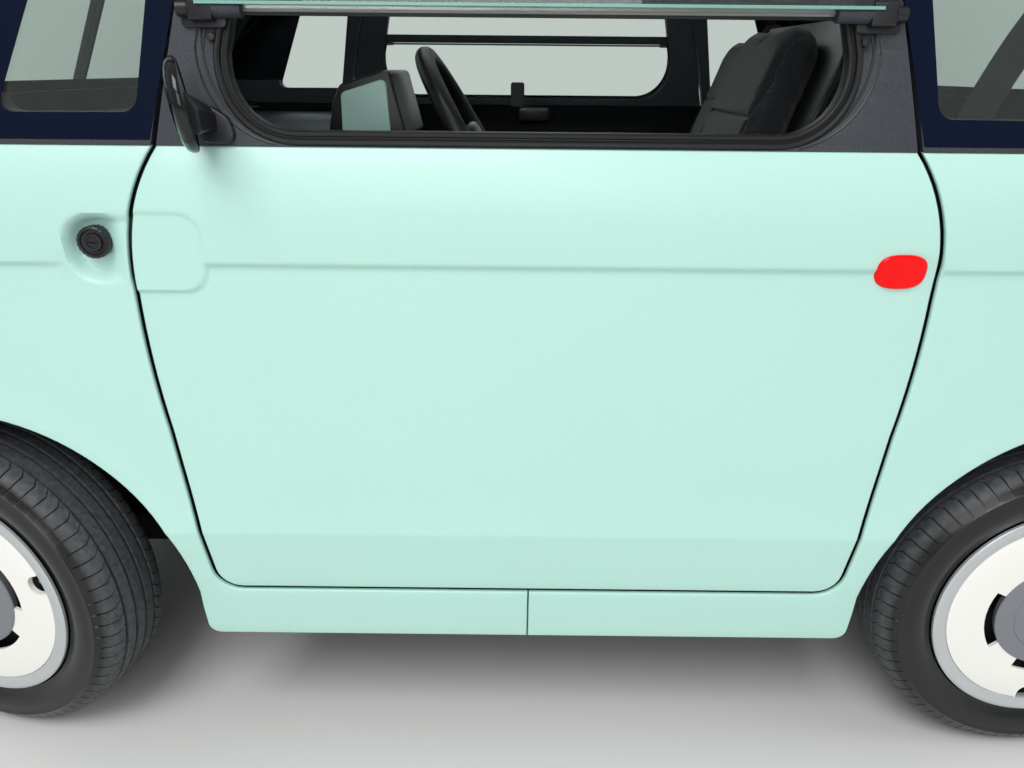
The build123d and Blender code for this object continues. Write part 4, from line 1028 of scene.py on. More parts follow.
def build_tyre(name, settings):
    """A tyre about the Y axis: sidewalls, grooves round the tread and curved sipes on its shoulders.

    One pitch of the tread is made and copied round. Its rows are (y, radius), and siped or not."""
    radius, half = settings.tyre_radius, settings.tyre_width / 2
    pitches, groove_depth, groove_slope, sipe_depth = 72, 0.0065, 0.0012, 0.0045
    groove, crown_edge = settings.groove, half - 0.0310
    wall = [(half - 0.020, 0.179), (half - 0.0165, 0.186), (half - 0.0125, 0.1885), (half - 0.0095, 0.192),
            (half - 0.0085, 0.198), (half - 0.0030, 0.206), (half, 0.218), (half - 0.0005, 0.230),
            (half - 0.0022, 0.240), (half - 0.0017, 0.2425), (half - 0.0040, 0.245)]
    shoulder = [(half - 0.0080, 0.2525), (half - 0.0125, 0.2590), (half - 0.0175, 0.2637),
                (half - 0.0235, 0.2668), (crown_edge, 0.2688)]

    def crown(y):
        return radius - 0.0032 * (abs(y) / crown_edge) ** 2

    ribs = []
    for middle in (0.034, 0.0115):
        top, floor = crown(middle), crown(middle) - groove_depth
        ribs += [(middle + groove / 2, top), (middle + groove / 2 - groove_slope, floor),
                 (middle - groove / 2 + groove_slope, floor), (middle - groove / 2, top)]
    ribs.append((0.0, radius))
    sections = ((wall, False), (shoulder + ribs[:1], True), (ribs[1:], False))
    half_rows = [(y, r, siped) for section, siped in sections for y, r in section]
    rows = half_rows + [(-y, r, siped) for y, r, siped in reversed(half_rows[:-1])]
    rows += [(-half + 0.024, 0.178, False), (half - 0.024, 0.178, False), rows[0]]
    columns = (0.0, 0.44, 0.475, 0.515, 0.55, 1.0)  # shares of a pitch: the sipe is its third and fourth

    def swirl(y):
        """The sipe's lean: straight over the shoulder, curling back towards the groove."""
        inner = smooth((0.052 - abs(y)) / 0.020)
        return (0.55 * inner ** 2) * 2 * pi / pitches

    def place(column, row):
        y, r, siped = rows[row]
        if siped and column in (2, 3):
            r -= sipe_depth * smooth((half - 0.0045 - abs(y)) / 0.006)
        angle = columns[column] * 2 * pi / pitches + swirl(y)
        return r * sin(angle), y, r * cos(angle)

    pitch = lattice(name, len(columns), len(rows), place)
    turns = [copy_of(pitch, f"{name}_{i}", Matrix.Rotation(2 * pi * i / pitches, 4, "Y"))
             for i in range(1, pitches)]
    tyre = join([pitch] + turns, name)
    outwards(tyre)
    tread = tyre.data.attributes.new("tread", "FLOAT", "POINT")
    for vertex, value in zip(tyre.data.vertices, tread.data):
        value.value = smooth((hypot(vertex.co.x, vertex.co.z) - 0.252) / 0.012)
    return tyre


def sector(name, low, high, span, y_low, y_high, angle):
    """A block between two radii over an angle, for cutting a slot through a disc about the Y axis."""
    steps = 8
    turns = [angle - span / 2 + span * i / steps for i in range(steps + 1)]
    outline = [(high * cos(turn), high * sin(turn)) for turn in turns]
    outline += [(low * cos(turn), low * sin(turn)) for turn in reversed(turns)]
    block = plate(name, outline, y_high - y_low, rim=0)
    block.data.transform(Matrix.Translation((0, y_high, 0)))
    return block


def carve(obj, cutters):
    """Cuts the cutters out of an object and deletes them."""
    for cutter in cutters:
        outwards(cutter)
    tool = join(cutters, "cutter") if len(cutters) > 1 else cutters[0]
    apply(obj, "BOOLEAN", operation="DIFFERENCE", object=tool, solver="EXACT")
    bpy.data.objects.remove(tool, do_unlink=True)
    return obj


class MICROCAR_OT_wheels(bpy.types.Operator):
    """Builds the tyre, rim, cover and cap of one wheel and places four"""
    bl_idname = "microcar.wheels"
    bl_label = "Wheels"

    slots = 4
    slot_radii = (0.086, 0.108)
    slot_span = radians(59)
    face = 0.0755
    at_valve = Matrix.Rotation(radians(90 - 7), 4, "Y")

    def execute(self, context):
        settings = context.scene.car_wheels
        parts = self.model(settings)
        joints = {joint["name"]: joint for joint in frame["record"]["behaviour"]["joints"]}
        rows = (  # wheel, side, angle of the first slot
            ("front_left", 1, radians(-155)),
            ("front_right", -1, radians(10)),
            ("rear_left", 1, radians(95)),
            ("rear_right", -1, radians(50)),
        )
        for wheel, side, phase in rows:
            joint = joints[f"{wheel}_spin"]
            place = aim(Vector(joint["axis"]) * side, joint["pos_m"]) @ Matrix.Rotation(phase, 4, "Y")
            for kind, (obj, finish, slot) in parts.items():
                node = f"tyre_{wheel}" if kind == "tyre" else f"rim_{wheel}"
                piece = copy_of(obj, f"{kind}_{wheel}_shaped", place)
                dress(piece, finish, f"{wheel}_wheel", slot, [node], 30)
        for obj, _, _ in parts.values():
            bpy.data.objects.remove(obj, do_unlink=True)
        return {"FINISHED"}

    def model(self, settings):
        """One wheel about the Y axis, its outer face towards +Y."""
        face = self.face
        tyre = build_tyre("tyre", settings)
        barrel = lathe("barrel", [(-0.060, 0.178), (-0.060, 0.170), (-0.052, 0.162), (0.030, 0.158),
                                  (0.040, 0.150), (0.040, 0.060), (0.020, 0.054), (-0.030, 0.054),
                                  (-0.030, 0.0172), (0.050, 0.0172), (0.050, 0.030), (0.046, 0.064),
                                  (0.046, 0.150), (0.040, 0.164), (0.060, 0.176), (0.060, 0.178)])
        rim = lathe("ring", [(face - 0.014, 0.176), (face - 0.006, 0.189), (face - 0.002, 0.1885),
                             (face - 0.0003, 0.186), (face, 0.183), (face - 0.001, 0.172),
                             (face - 0.0030, 0.1675), (face - 0.006, 0.1660), (face - 0.014, 0.1655)])
        disc = lathe("cover", [(face - 0.0040, 0.1659), (face - 0.0028, 0.160), (face - 0.0012, 0.140),
                               (face - 0.0005, 0.120), (face - 0.0010, 0.100), (face - 0.0022, 0.082),
                               (face - 0.0080, 0.082), (face - 0.0065, 0.100), (face - 0.0055, 0.140),
                               (face - 0.0090, 0.1659)])
        cutters = []
        for i in range(self.slots):
            angle = 2 * pi * i / self.slots
            cutters.append(sector(f"arc_slot_{i}", *self.slot_radii, self.slot_span, face - 0.02, face + 0.01,
                                  angle))
        pocket = plate("pocket", rounded_box(-0.0175, 0.0175, 0.1400, 0.1900, 0.0165), 0.03, 0)
        pocket.data.transform(self.at_valve @ Matrix.Translation((0, face + 0.01, 0)))
        cutters.append(pocket)
        carve(disc, cutters)
        edge = arc((-0.0176, 0.1565), (0.0, 0.1400), (0.0176, 0.1565), 17)
        edge = [(-0.0176, 0.1655)] + edge + [(0.0176, 0.1655)]
        section = [(0.0, -0.0016), (0.0, -0.0100), (0.0014, -0.0100), (0.0014, -0.0016)]
        wall = sweep("pocket_wall", edge, section, lambda x, z, proud: (x, face + proud, z))
        wall.data.transform(self.at_valve)
        disc = join([disc, wall], "cover")
        cap = lathe("cap", [(face - 0.012, 0.0890), (face - 0.0015, 0.0915), (face + 0.0002, 0.0905),
                            (face + 0.0012, 0.0870), (face + 0.0018, 0.0640), (face + 0.0010, 0.0632),
                            (face + 0.0010, 0.0622), (face + 0.0020, 0.0614), (face + 0.0026, 0.0300),
                            (face + 0.0028, 0.0005), (face - 0.012, 0.0005)])
        valve = lathe("valve", [(0.038, 0.0062), (0.052, 0.0058), (0.054, 0.0042), (0.061, 0.0040),
                                (0.0618, 0.0030), (0.0618, 0.0003), (0.038, 0.0003)], 20)
        valve.data.transform(self.at_valve @ Matrix.Translation((0, 0, 0.152)))
        return {
            "tyre": (tyre, "tyre_compound", "tyre_rubber"),
            "barrel": (barrel, "black_wheel_steel", "wheel_cover"),
            "ring": (rim, "silver_lacquer", "wheel_cover"),
            "cover": (disc, "cover_plastic", "wheel_cover"),
            "cap": (cap, "grey_cap_lacquer", "wheel_cover"),
            "valve": (valve, "zinc_plated_steel", "wheel_cover"),
        }


class MICROCAR_OT_window_frames(bpy.types.Operator):
    """Smooths the grained plastic frame round the glass, on the body and on the doors"""
    bl_idname = "microcar.window_frames"
    bl_label = "Window frames"

    def execute(self, context):
        rows = (  # node, body
            ("roof_frame", "root"),
            ("door_left_frame", "left_door"),
            ("door_right_frame", "right_door"),
        )
        for node, body in rows:
            obj = smooth_copy(node, f"{node}_grained")
            dress(obj, "grained_frame_plastic", body, "frame_plastic", [node], 30, True)
        return {"FINISHED"}


def side_y(z):
    """Half width of the glazed body at a height."""
    return BELT_Y - (z - BELT_Z) * SIDE_RUN


def screen_x(z):
    """Half length of the glazed body at a height."""
    return SCREEN_FOOT_X - (z - BELT_Z) * SCREEN_RUN


def on_side(x, z, proud):
    """A point of the glazed side, standing proud of it."""
    return x, side_y(z) + proud, z


def on_pane(x, z):
    """A point of a border laid on a side pane."""
    return on_side(x, z, LAID)


def window_path():
    """The lower door window's outline, from the bar down round the foot and up to the bar again."""
    corners = [(0.388, BAR_Z), (0.398, 1.100), (0.398, 1.003), (0.0, 1.003)]
    half = rounded(corners, [0, 0.05, 0.085, 0], 12)[:-1]
    return half + [(-x, z) for x, z in reversed(half)]


def flap_path():
    """The edge of the flap's seat in the frame, as far as it shows beside the window's seal."""
    corners = [(0.4265, BAR_Z - 0.006), (0.434, 1.106), (0.434, 0.988), (0.0, 0.988)]
    half = rounded(corners, [0, 0.02, 0.118, 0], 16)[:-1]
    return [(x, z) for x, z in half if x > SEAT_SHOWN_X]


class MICROCAR_OT_seals(bpy.types.Operator):
    """Builds the rubber seals round the door windows and behind the doors' shut lines"""
    bl_idname = "microcar.seals"
    bl_label = "Seals"

    proud_seal = ((-0.0035, -0.016), (-0.0035, -0.006), (-0.0022, -0.0022), (0.0002, -0.0006),
                  (0.0030, -0.0012), (0.0044, -0.0034), (0.0058, -0.0034), (0.0072, 0.0006),
                  (0.0098, 0.0024), (0.0124, 0.0022), (0.0146, -0.0004), (0.0152, -0.0052),
                  (0.0100, -0.0080), (0.0020, -0.0080))
    low_seal = ((-0.0035, -0.016), (-0.0035, -0.008), (-0.0010, -0.0058), (0.0060, -0.0056),
                (0.0120, -0.0056), (0.0140, -0.0068), (0.0020, -0.0090))
    # A black strip on the floor of the flap's seat, as painted shade in its groove
    seat_shade_strip = ((-0.0090, -0.0056), (-0.0085, -0.0040), (-0.0050, -0.0030), (-0.0012, -0.0038),
                  (-0.0008, -0.0056))
    seat_lip = ((-0.0008, -0.0030), (-0.0006, 0.0006), (0.0006, 0.0012), (0.0018, 0.0006),
                (0.0020, -0.0010))
    shut_seal_r = 0.0032
    shut_seal_sink = 0.013
    shut_seal_step = 0.012
    hinge_clearance = 0.024

    def execute(self, context):
        open_seal = sweep("window_seal_left", window_path(), self.proud_seal, on_side)
        shut_seal = sweep("window_seal_right", window_path(), self.low_seal, on_side)
        shut_seal.data.transform(HALF_TURN)
        for obj, body in zip((open_seal, shut_seal), DOORS):
            dress(obj, "door_seal_rubber", body, "black_plastic")
        # The black strip laid in the flap's seat is painted shade, darkening the groove there
        for name, section, finish in (("flap_seat", self.seat_shade_strip, "door_seal_rubber"),
                                      ("flap_lip", self.seat_lip, "smooth_black_plastic")):
            ahead = sweep(f"{name}_front", flap_path(), section, on_side)
            both = join(mates(ahead, FLIP_X, "front", "rear"), f"{name}_left")
            dress(both, finish, "left_door", "frame_plastic")
        half = door_outline(SHUT_GAP / 2)
        points = [(x, body_skin(x, z) - self.shut_seal_sink, z) for x, z in reversed(half)]
        points += [(-x, y, z) for x, y, z in reversed(points)]
        beads = [bead("shut_seal", chain, self.shut_seal_r) for chain in self.chains(points)]
        for obj in mates(join(beads, "shut_seal_left"), HALF_TURN):
            dress(obj, "door_seal_rubber", "root", "black_plastic")
        return {"FINISHED"}

    def chains(self, points):
        """The seal's line in even steps, left open where the hinge arms pass through it."""
        chains, chain = [], []
        for here, there in zip(points, points[1:]):
            pieces = max(1, int((Vector(there) - Vector(here)).length / self.shut_seal_step))
            for k in range(pieces):
                spot = Vector(here).lerp(Vector(there), k / pieces)
                if spot.x < 0 and min(abs(spot.z - z) for z in HINGE_HEIGHTS) < self.hinge_clearance:
                    if len(chain) > 1:
                        chains.append(chain)
                    chain = []
                else:
                    chain.append(tuple(spot))
        return chains + [chain]


class MICROCAR_OT_pillars(bpy.types.Operator):
    """Builds the pillars round the quarter glasses, with the window holes that the glass borders hide"""
    bl_idname = "microcar.pillars"
    bl_label = "Pillars"

    hole = ((0.517, 1.027), (0.700, 1.026), (0.586, 1.396), (0.450, 1.396))
    reach = 0.8

    def execute(self, context):
        for node, turned in (("front_pillars", AS_BUILT), ("rear_pillars", HALF_TURN)):
            obj = smooth_copy(node, f"{node}_grained")
            cutter = plate("cutter", rounded(self.hole, [0.02, 0.02, 0, 0]), 2 * self.reach, rim=0)
            cutter.data.transform(turned @ Matrix.Translation((0, self.reach, 0)))
            carve(obj, [cutter])
            dress(obj, "grained_frame_plastic", "root", "frame_plastic", [node], 30, True)
        return {"FINISHED"}


class MICROCAR_OT_glass_borders(bpy.types.Operator):
    """Lays the fired dark border on the fixed panes"""
    bl_idname = "microcar.glass_borders"
    bl_label = "Glass borders"

    # Each border's outer and inner outline, as corners and their radii
    quarter = (((0.5016, 0.994), (0.916, 0.994), (0.570, 1.442), (0.384, 1.442)), [0.004, 0.02, 0.02, 0.004])
    quarter_clear = (((0.517, 1.027), (0.697, 1.026), (0.540, 1.396), (0.450, 1.396)),
                     [0.022, 0.014, 0.02, 0.02])
    screen = (((0.606, 0.998), (0.528, 1.462), (-0.528, 1.462), (-0.606, 0.998)), [0.03] * 4)
    screen_clear = (((0.560, 1.056), (0.488, 1.418), (-0.488, 1.418), (-0.560, 1.056)), [0.05] * 4)
    roof = (((0.418, 0.453), (-0.418, 0.453), (-0.418, -0.453), (0.418, -0.453)), [0.048] * 4)
    roof_clear = (((0.374, 0.409), (-0.374, 0.409), (-0.374, -0.409), (0.374, -0.409)), [0.03] * 4)
    roof_radius = 7.8
    roof_top = 1.530

    def on_screen(self, y, z):
        """A point of a border laid on the windscreen."""
        return screen_x(z) + LAID, y, z

    def on_roof(self, x, y):
        """A point of a border laid on the crowned roof glass."""
        fall = self.roof_radius - sqrt(self.roof_radius ** 2 - x * x - y * y)
        return x, y, self.roof_top - fall + LAID

    def execute(self, context):
        quarter = border("quarter_border_1", rounded(*self.quarter), rounded(*self.quarter_clear), on_pane)
        quarters = [quarter]
        for number, matrix in enumerate((FLIP_Y, FLIP_X, HALF_TURN), 2):
            quarters.append(copy_of(quarter, f"quarter_border_{number}", matrix))
        screen = border("screen_border_front", rounded(*self.screen), rounded(*self.screen_clear),
                        self.on_screen)
        screens = mates(screen, HALF_TURN, "front", "rear")
        roof = border("roof_border", rounded(*self.roof), rounded(*self.roof_clear), self.on_roof)
        for obj in (*quarters, *screens, roof):
            dress(obj, "fired_glass_border", "root", "glass")
        return {"FINISHED"}


class MICROCAR_OT_flap_fittings(bpy.types.Operator):
    """Builds the flip-up panes' borders, hinge barrels, rail and latch"""
    bl_idname = "microcar.flap_fittings"
    bl_label = "Flap fittings"

    def execute(self, context):
        outer = ((0.4245, 1.1445), (0.4322, 0.990), (-0.4322, 0.990), (-0.4245, 1.1445))
        inner = ((0.391, 1.1410), (0.396, 1.012), (-0.396, 1.012), (-0.391, 1.1410))
        shut = border("flap_border_right", rounded(outer, [0.002, 0.116, 0.116, 0.002], 14),
                      rounded(inner, [0.002, 0.085, 0.085, 0.002], 14), on_pane)
        latch = plate("flap_latch_right", rounded_box(-0.019, 0.019, 0.982, 1.046, 0.007), 0.016, 0.003)
        latch.data.transform(Matrix.Translation((-0.024, 0.656, 0)))
        edge = sweep("flap_edge_right", [(0.4242, 1.1440), (-0.4242, 1.1440)],
                     [(0.0026, -0.0056), (0.0026, 0.0010), (-0.0012, 0.0010), (-0.0012, -0.0056)], on_side)
        pivot = Vector((0, side_y(PIVOT_Z) + FLAP_LIFT, PIVOT_Z))
        up = Matrix.Translation(pivot) @ Matrix.Rotation(pi, 4, "X") @ Matrix.Translation(-pivot)
        rows = (  # piece of the flap, finish, slot
            (edge, "ground_glass_edge", "glass"),
            (shut, "fired_glass_border", "glass"),
            (latch, "smooth_black_plastic", "black_plastic"),
        )
        for obj, finish, slot in rows:
            _, opened = mates(obj, up, "right", "left")
            obj.data.transform(HALF_TURN)
            for piece, body in zip((opened, obj), DOORS):
                dress(piece, finish, body, slot)
        self.barrels(pivot)
        return {"FINISHED"}

    def barrels(self, pivot):
        """The hinge at each end of the bar, a rail along it and a shadow strip below."""
        pieces = []
        for x in (0.420, -0.426):
            knuckle = plate("knuckle", rounded([(-0.012, -0.014), (0.010, -0.016), (0.013, 0.002),
                                                (0.008, 0.016), (-0.010, 0.016)],
                                               [0.004, 0.006, 0.006, 0.006, 0.005], 5), 0.030, 0.002)
            knuckle.data.transform(Matrix.Rotation(-pi / 2, 4, "Z"))
            knuckle.data.transform(Matrix.Translation((x + 0.015, pivot.y, pivot.z)))
            barrel = lathe("barrel", [(-0.031, 0.0085), (-0.030, 0.0098), (-0.0165, 0.0098), (-0.016, 0.0090),
                                      (0.016, 0.0090), (0.0165, 0.0098), (0.030, 0.0098), (0.031, 0.0085),
                                      (0.031, AXIS_R), (-0.031, AXIS_R)], 32)
            barrel.data.transform(Matrix.Rotation(-pi / 2, 4, "Z"))
            barrel.data.transform(Matrix.Translation((x, pivot.y, pivot.z)))
            foot = plate("foot", rounded_box(x - 0.028, x + 0.028, 1.128, 1.168, 0.006), 0.006, 0.0015)
            bend(foot, lambda px, pz: side_y(pz) + 0.0045)
            pieces += [knuckle, barrel, foot]
        hinge = join(pieces, "flap_hinges_left")
        outwards(hinge)
        # The rail is drawn light grey as a painted highlight along the bar's top
        rail = sweep("flap_rail_left", [(0.385, 1.1515), (-0.392, 1.1515)],
                     [(0.0045, -0.001), (0.0042, 0.0028), (0.0020, 0.0044), (-0.0020, 0.0044),
                      (-0.0042, 0.0028), (-0.0045, -0.001)], on_side)
        strip = sweep("flap_strip_left", [(0.388, 1.1450), (-0.392, 1.1450)],
                      [(0.0020, -0.004), (0.0018, 0.0030), (-0.0018, 0.0030), (-0.0020, -0.016)], on_side)
        for obj, finish, slot in ((hinge, "smooth_black_plastic", "black_plastic"),
                                  (rail, "window_rail_lacquer", "frame_plastic")):
            for piece, body in zip(mates(obj, HALF_TURN), DOORS):
                dress(piece, finish, body, slot)
        dress(strip, "door_seal_rubber", "left_door", "black_plastic")


class MICROCAR_OT_mirrors(bpy.types.Operator):
    """Builds the round door mirrors on their feet"""
    bl_idname = "microcar.mirrors"
    bl_label = "Mirrors"

    centre = (0.429, 0.742, 1.039)
    facing = (-0.930, -0.310, 0.135)

    def execute(self, context):
        spot = aim(self.facing, self.centre)
        shell = lathe("mirror_shell", [(0.0055, 0.0520), (0.0065, 0.0535), (0.0060, 0.0552),
                                       (0.0030, 0.0562), (-0.0010, 0.0558), (-0.0060, 0.0525),
                                       (-0.0100, 0.0440), (-0.0125, 0.0300),
                                       (-0.0135, 0.0150), (-0.0138, AXIS_R), (0.0040, AXIS_R),
                                       (0.0042, 0.0515)])
        face = lathe("mirror_face", [(0.0050, 0.0519), (0.0056, 0.0505), (0.0058, 0.0300), (0.0059, AXIS_R),
                                     (0.0036, AXIS_R), (0.0036, 0.0519)])
        for obj in (shell, face):
            obj.data.transform(spot)
        foot = plate("mirror_foot", rounded(
            [(0.384, 0.990), (0.432, 0.990), (0.440, 1.030), (0.418, 1.036), (0.396, 1.022)],
            [0.012, 0.010, 0.010, 0.012, 0.014], 6), 0.009, 0.003)
        bend(foot, lambda x, z: side_y(z) + 0.0075)
        arm = plate("mirror_arm", rounded(
            [(0.412, 1.004), (0.432, 1.006), (0.446, 1.030), (0.444, 1.052), (0.426, 1.054), (0.414, 1.034)],
            [0.006] * 6, 5), 0.060, 0.004)
        arm.data.transform(Matrix.Translation((0, 0.734, 0)))
        for vertex in arm.data.vertices:
            if vertex.co.y < 0.690:
                vertex.co.x += (0.418 - vertex.co.x) * 0.25 - 0.004
                vertex.co.z += (1.012 - vertex.co.z) * 0.45
        holder = join([foot, arm], "mirror_holder")
        outwards(holder)
        rows = (  # piece, finish
            (shell, "gloss_black_plastic"),
            (face, "mirror_glass"),
            (holder, "smooth_black_plastic"),
        )
        for obj, finish in rows:
            obj.name = f"{obj.name}_left"
            for piece, body in zip(mates(obj, FLIP_Y), DOORS):
                dress(piece, finish, body, "black_plastic", [f"door_{piece.name.split('_')[-1]}_mirror"])
        return {"FINISHED"}


class MICROCAR_OT_fittings(bpy.types.Operator):
    """Builds the lock buttons and the reflector on the left door"""
    bl_idname = "microcar.fittings"
    bl_label = "Lock buttons and reflector"

    ribs = 20
    reflector_at = (-0.4945, 0.8325)
    reflector_half = (0.0345, 0.0242)
    reflector_power = 2.0 / 2.7

    def execute(self, context):
        self.lock_buttons()
        self.reflector()
        return {"FINISHED"}

    def lock_buttons(self):
        """A button with a ribbed rim and a key slot in the dish, on both sides."""
        r = BUTTON_R
        rim = lathe("lock_rim", [(-0.016, r - 0.001), (0.000, r), (0.0030, r - 0.0006),
                                 (0.0046, r - 0.0026), (0.0040, r - 0.0050), (0.0012, r - 0.0066),
                                 (0.0006, 0.0125), (0.0030, 0.0115), (0.0034, 0.0100), (0.0034, 0.0082),
                                 (0.0022, 0.0078), (0.0020, AXIS_R), (-0.016, AXIS_R)], self.ribs * 4)
        for vertex in rim.data.vertices:
            radius = hypot(vertex.co.x, vertex.co.z)
            if radius > r - 0.0036:
                turn = atan2(vertex.co.z, vertex.co.x) * self.ribs
                scale = 1 - 0.035 * (0.5 + 0.5 * cos(turn))
                vertex.co.x *= scale
                vertex.co.z *= scale
        slot = plate("key_slot", rounded_box(-0.0055, 0.0055, -0.0011, 0.0011, 0.0010, 3), 0.004, 0)
        slot.data.transform(Matrix.Translation((0, 0.0035, 0)))
        carve(rim, [slot])
        rim.data.transform(Matrix.Translation((BUTTON[0], 0.688, BUTTON[1])))
        rim.name = "lock_button_left"
        for obj in mates(rim, HALF_TURN):
            dress(obj, "smooth_black_plastic", "root", "black_plastic", ["lock_buttons"])

    def reflector(self):
        """The red lens on the left door, an oval with flattened sides that follows the door's curve."""
        (at_x, at_z), (half_x, half_z), power = self.reflector_at, self.reflector_half, self.reflector_power
        steps = 56
        outline = []
        for i in range(steps):
            c, s = cos(2 * pi * i / steps), sin(2 * pi * i / steps)
            outline.append((at_x + half_x * abs(c) ** power * (1 if c > 0 else -1),
                            at_z + half_z * abs(s) ** power * (1 if s > 0 else -1)))
        reflector = plate("reflector_lens", outline, 0.010, 0.0035)
        cut_grid(reflector, spread(-0.530, -0.460, 0.008), spread(0.806, 0.858, 0.008))
        bend(reflector, lambda x, z: body_skin(x, z) + 0.0050 - 0.0016 * ((x - at_x) / half_x) ** 2)
        dress(reflector, "red_reflector", "left_door", "red_lens", ["door_left_reflector"], 60)


class MICROCAR_OT_steering(bpy.types.Operator):
    """Builds the steering wheel, with a padded hub and three spokes, and the stalks behind it"""
    bl_idname = "microcar.steering"
    bl_label = "Steering wheel"

    hub = (0.098, 0.300, 0.958)
    facing = (-cos(radians(30)), 0.0, sin(radians(30)))
    rim_radius = 0.165
    grip = 0.0158
    shroud_depth = 0.105

    def execute(self, context):
        spot = aim(self.facing, self.hub)
        profile = [(self.grip * sin(2 * pi * i / 20), self.rim_radius + self.grip * cos(2 * pi * i / 20))
                   for i in range(20)]
        rim = lathe("steering_rim", profile)
        spokes = plate("steering_spokes", rounded(
            [(-0.158, -0.012), (-0.060, -0.046), (-0.026, -0.060), (-0.022, -0.158), (0.022, -0.158),
             (0.026, -0.060), (0.060, -0.046), (0.158, -0.012), (0.158, 0.014), (0.060, 0.026),
             (-0.060, 0.026), (-0.158, 0.014)],
            [0, 0.03, 0.02, 0, 0, 0.02, 0.03, 0, 0, 0.03, 0.03, 0]), 0.012, 0.0035)
        spokes.data.transform(Matrix.Translation((0, 0.004, 0)))
        pad = plate("steering_pad", rounded(
            [(-0.062, 0.036), (-0.050, -0.058), (0.050, -0.058), (0.062, 0.036)],
            [0.026, 0.030, 0.030, 0.026], 9), 0.050, 0.008)
        pad.data.transform(Matrix.Translation((0, 0.019, 0)))
        neck = lathe("steering_neck", [(-0.002, 0.046), (-0.030, 0.044), (-0.039, 0.036), (-0.039, AXIS_R),
                                       (-0.002, AXIS_R)], 48)
        for obj in (spokes, pad, neck):
            outwards(obj)
        hub = join([spokes, pad, neck], "steering_hub")
        for obj, finish in ((rim, "grained_rim_leather"), (hub, "smooth_black_plastic")):
            obj.data.transform(spot)
            dress(obj, finish, "handwheel", "black_plastic", ["steering_wheel"], 40)
        self.stalks()
        return {"FINISHED"}

    def stalks(self):
        """The column's shroud behind the wheel, with a stalk on each side."""
        behind = Vector(self.hub) - self.shroud_depth * Vector(self.facing)
        column = aim(self.facing, behind)
        shroud = plate("column_shroud", rounded_box(-0.036, 0.036, -0.034, 0.030, 0.016),
                       self.shroud_depth, 0.006)
        shroud.data.transform(column @ Matrix.Translation((0, 0.052, 0)))
        stalks = []
        for side in (1, -1):
            points = [(side * r, 0.044 + 0.10 * (r - 0.03) ** 2, 0.002 + 0.08 * (r - 0.03))
                      for r in (0.030, 0.055, 0.080, 0.105, 0.125)]
            stalk = bead("stalk", points, 0.0062, rounds=3)
            stalk.data.transform(column)
            stalks.append(stalk)
        fixed = join([shroud] + stalks, "column_stalks")
        outwards(fixed)
        dress(fixed, "smooth_black_plastic", "root", "black_plastic")


class MICROCAR_OT_cabin(bpy.types.Operator):
    """Builds the instrument casing with its coloured cheeks, the dashboard and the door pulls"""
    bl_idname = "microcar.cabin"
    bl_label = "Cabin"

    def execute(self, context):
        casing = plate("binnacle_casing", rounded(
            [(0.330, 0.965), (0.203, 0.966), (0.201, 0.983), (0.226, 1.082), (0.305, 1.058), (0.318, 1.030)],
            [0, 0, 0.004, 0.010, 0.012, 0.010], 6), 0.240, 0)
        casing.data.transform(Matrix.Translation((0, 0.420, 0)))
        apply(casing, "BEVEL", width=0.005, segments=3, limit_method="ANGLE", angle_limit=radians(50))
        dress(casing, "smooth_black_plastic", "root", "black_plastic", ["binnacle"])
        cheek = plate("binnacle_cheek_left", rounded(
            [(0.304, 0.972), (0.226, 0.972), (0.231, 1.068), (0.303, 1.046)],
            [0.004, 0.004, 0.008, 0.010], 6), 0.006, 0.002)
        for obj, y in zip(mates(cheek, FLIP_Y), (0.4225, 0.1775)):
            obj.data.transform(Matrix.Translation((0, y, 0)))
            dress(obj, "mass_coloured_panel", "root", "body_panel", ["binnacle"])
        face = plate("instrument_face", rounded_box(-0.098, 0.098, -0.036, 0.036, 0.010), 0.004, 0.001)
        face.data.transform(aim((-0.970, 0.0, 0.243), (0.2125, 0.300, 1.026)))
        dress(face, "gloss_black_plastic", "root", "black_plastic", ["binnacle"])
        dash = smooth_copy("dashboard", "dashboard_moulding", 0.006)
        dress(dash, "dashboard_plastic", "root", "black_plastic", ["dashboard"], 40)
        self.pulls()
        self.plugs()
        return {"FINISHED"}

    def pulls(self):
        """A moulded pull on each door's inner side."""
        pull = plate("door_pull_right", rounded_box(-0.022, 0.067, 0.940, 0.980, 0.012), 0.036, 0)
        apply(pull, "BEVEL", width=0.006, segments=3, limit_method="ANGLE", angle_limit=radians(50))
        pull.data.transform(Matrix.Translation((0, 0.664, 0)))
        _, twin = mates(pull, FLIP_X, "right", "left")
        pull.data.transform(HALF_TURN)
        for obj, body in zip((twin, pull), DOORS):
            dress(obj, "smooth_black_plastic", body, "black_plastic")

    def plugs(self):
        """The plugs over the fixings of each door's window frame."""
        plugs = []
        for x in (0.413, -0.413):
            plug = lathe("plug", [(0.0014, AXIS_R), (0.0012, 0.0042), (0.0002, 0.0054), (-0.004, 0.0054),
                                  (-0.004, AXIS_R)], 24)
            plug.data.transform(aim((0, 1, SIDE_RUN), (x, side_y(1.118) + 0.0035, 1.118)))
            plugs.append(plug)
        for obj, body in zip(mates(join(plugs, "frame_plugs_left"), HALF_TURN), DOORS):
            dress(obj, "smooth_black_plastic", body, "black_plastic")


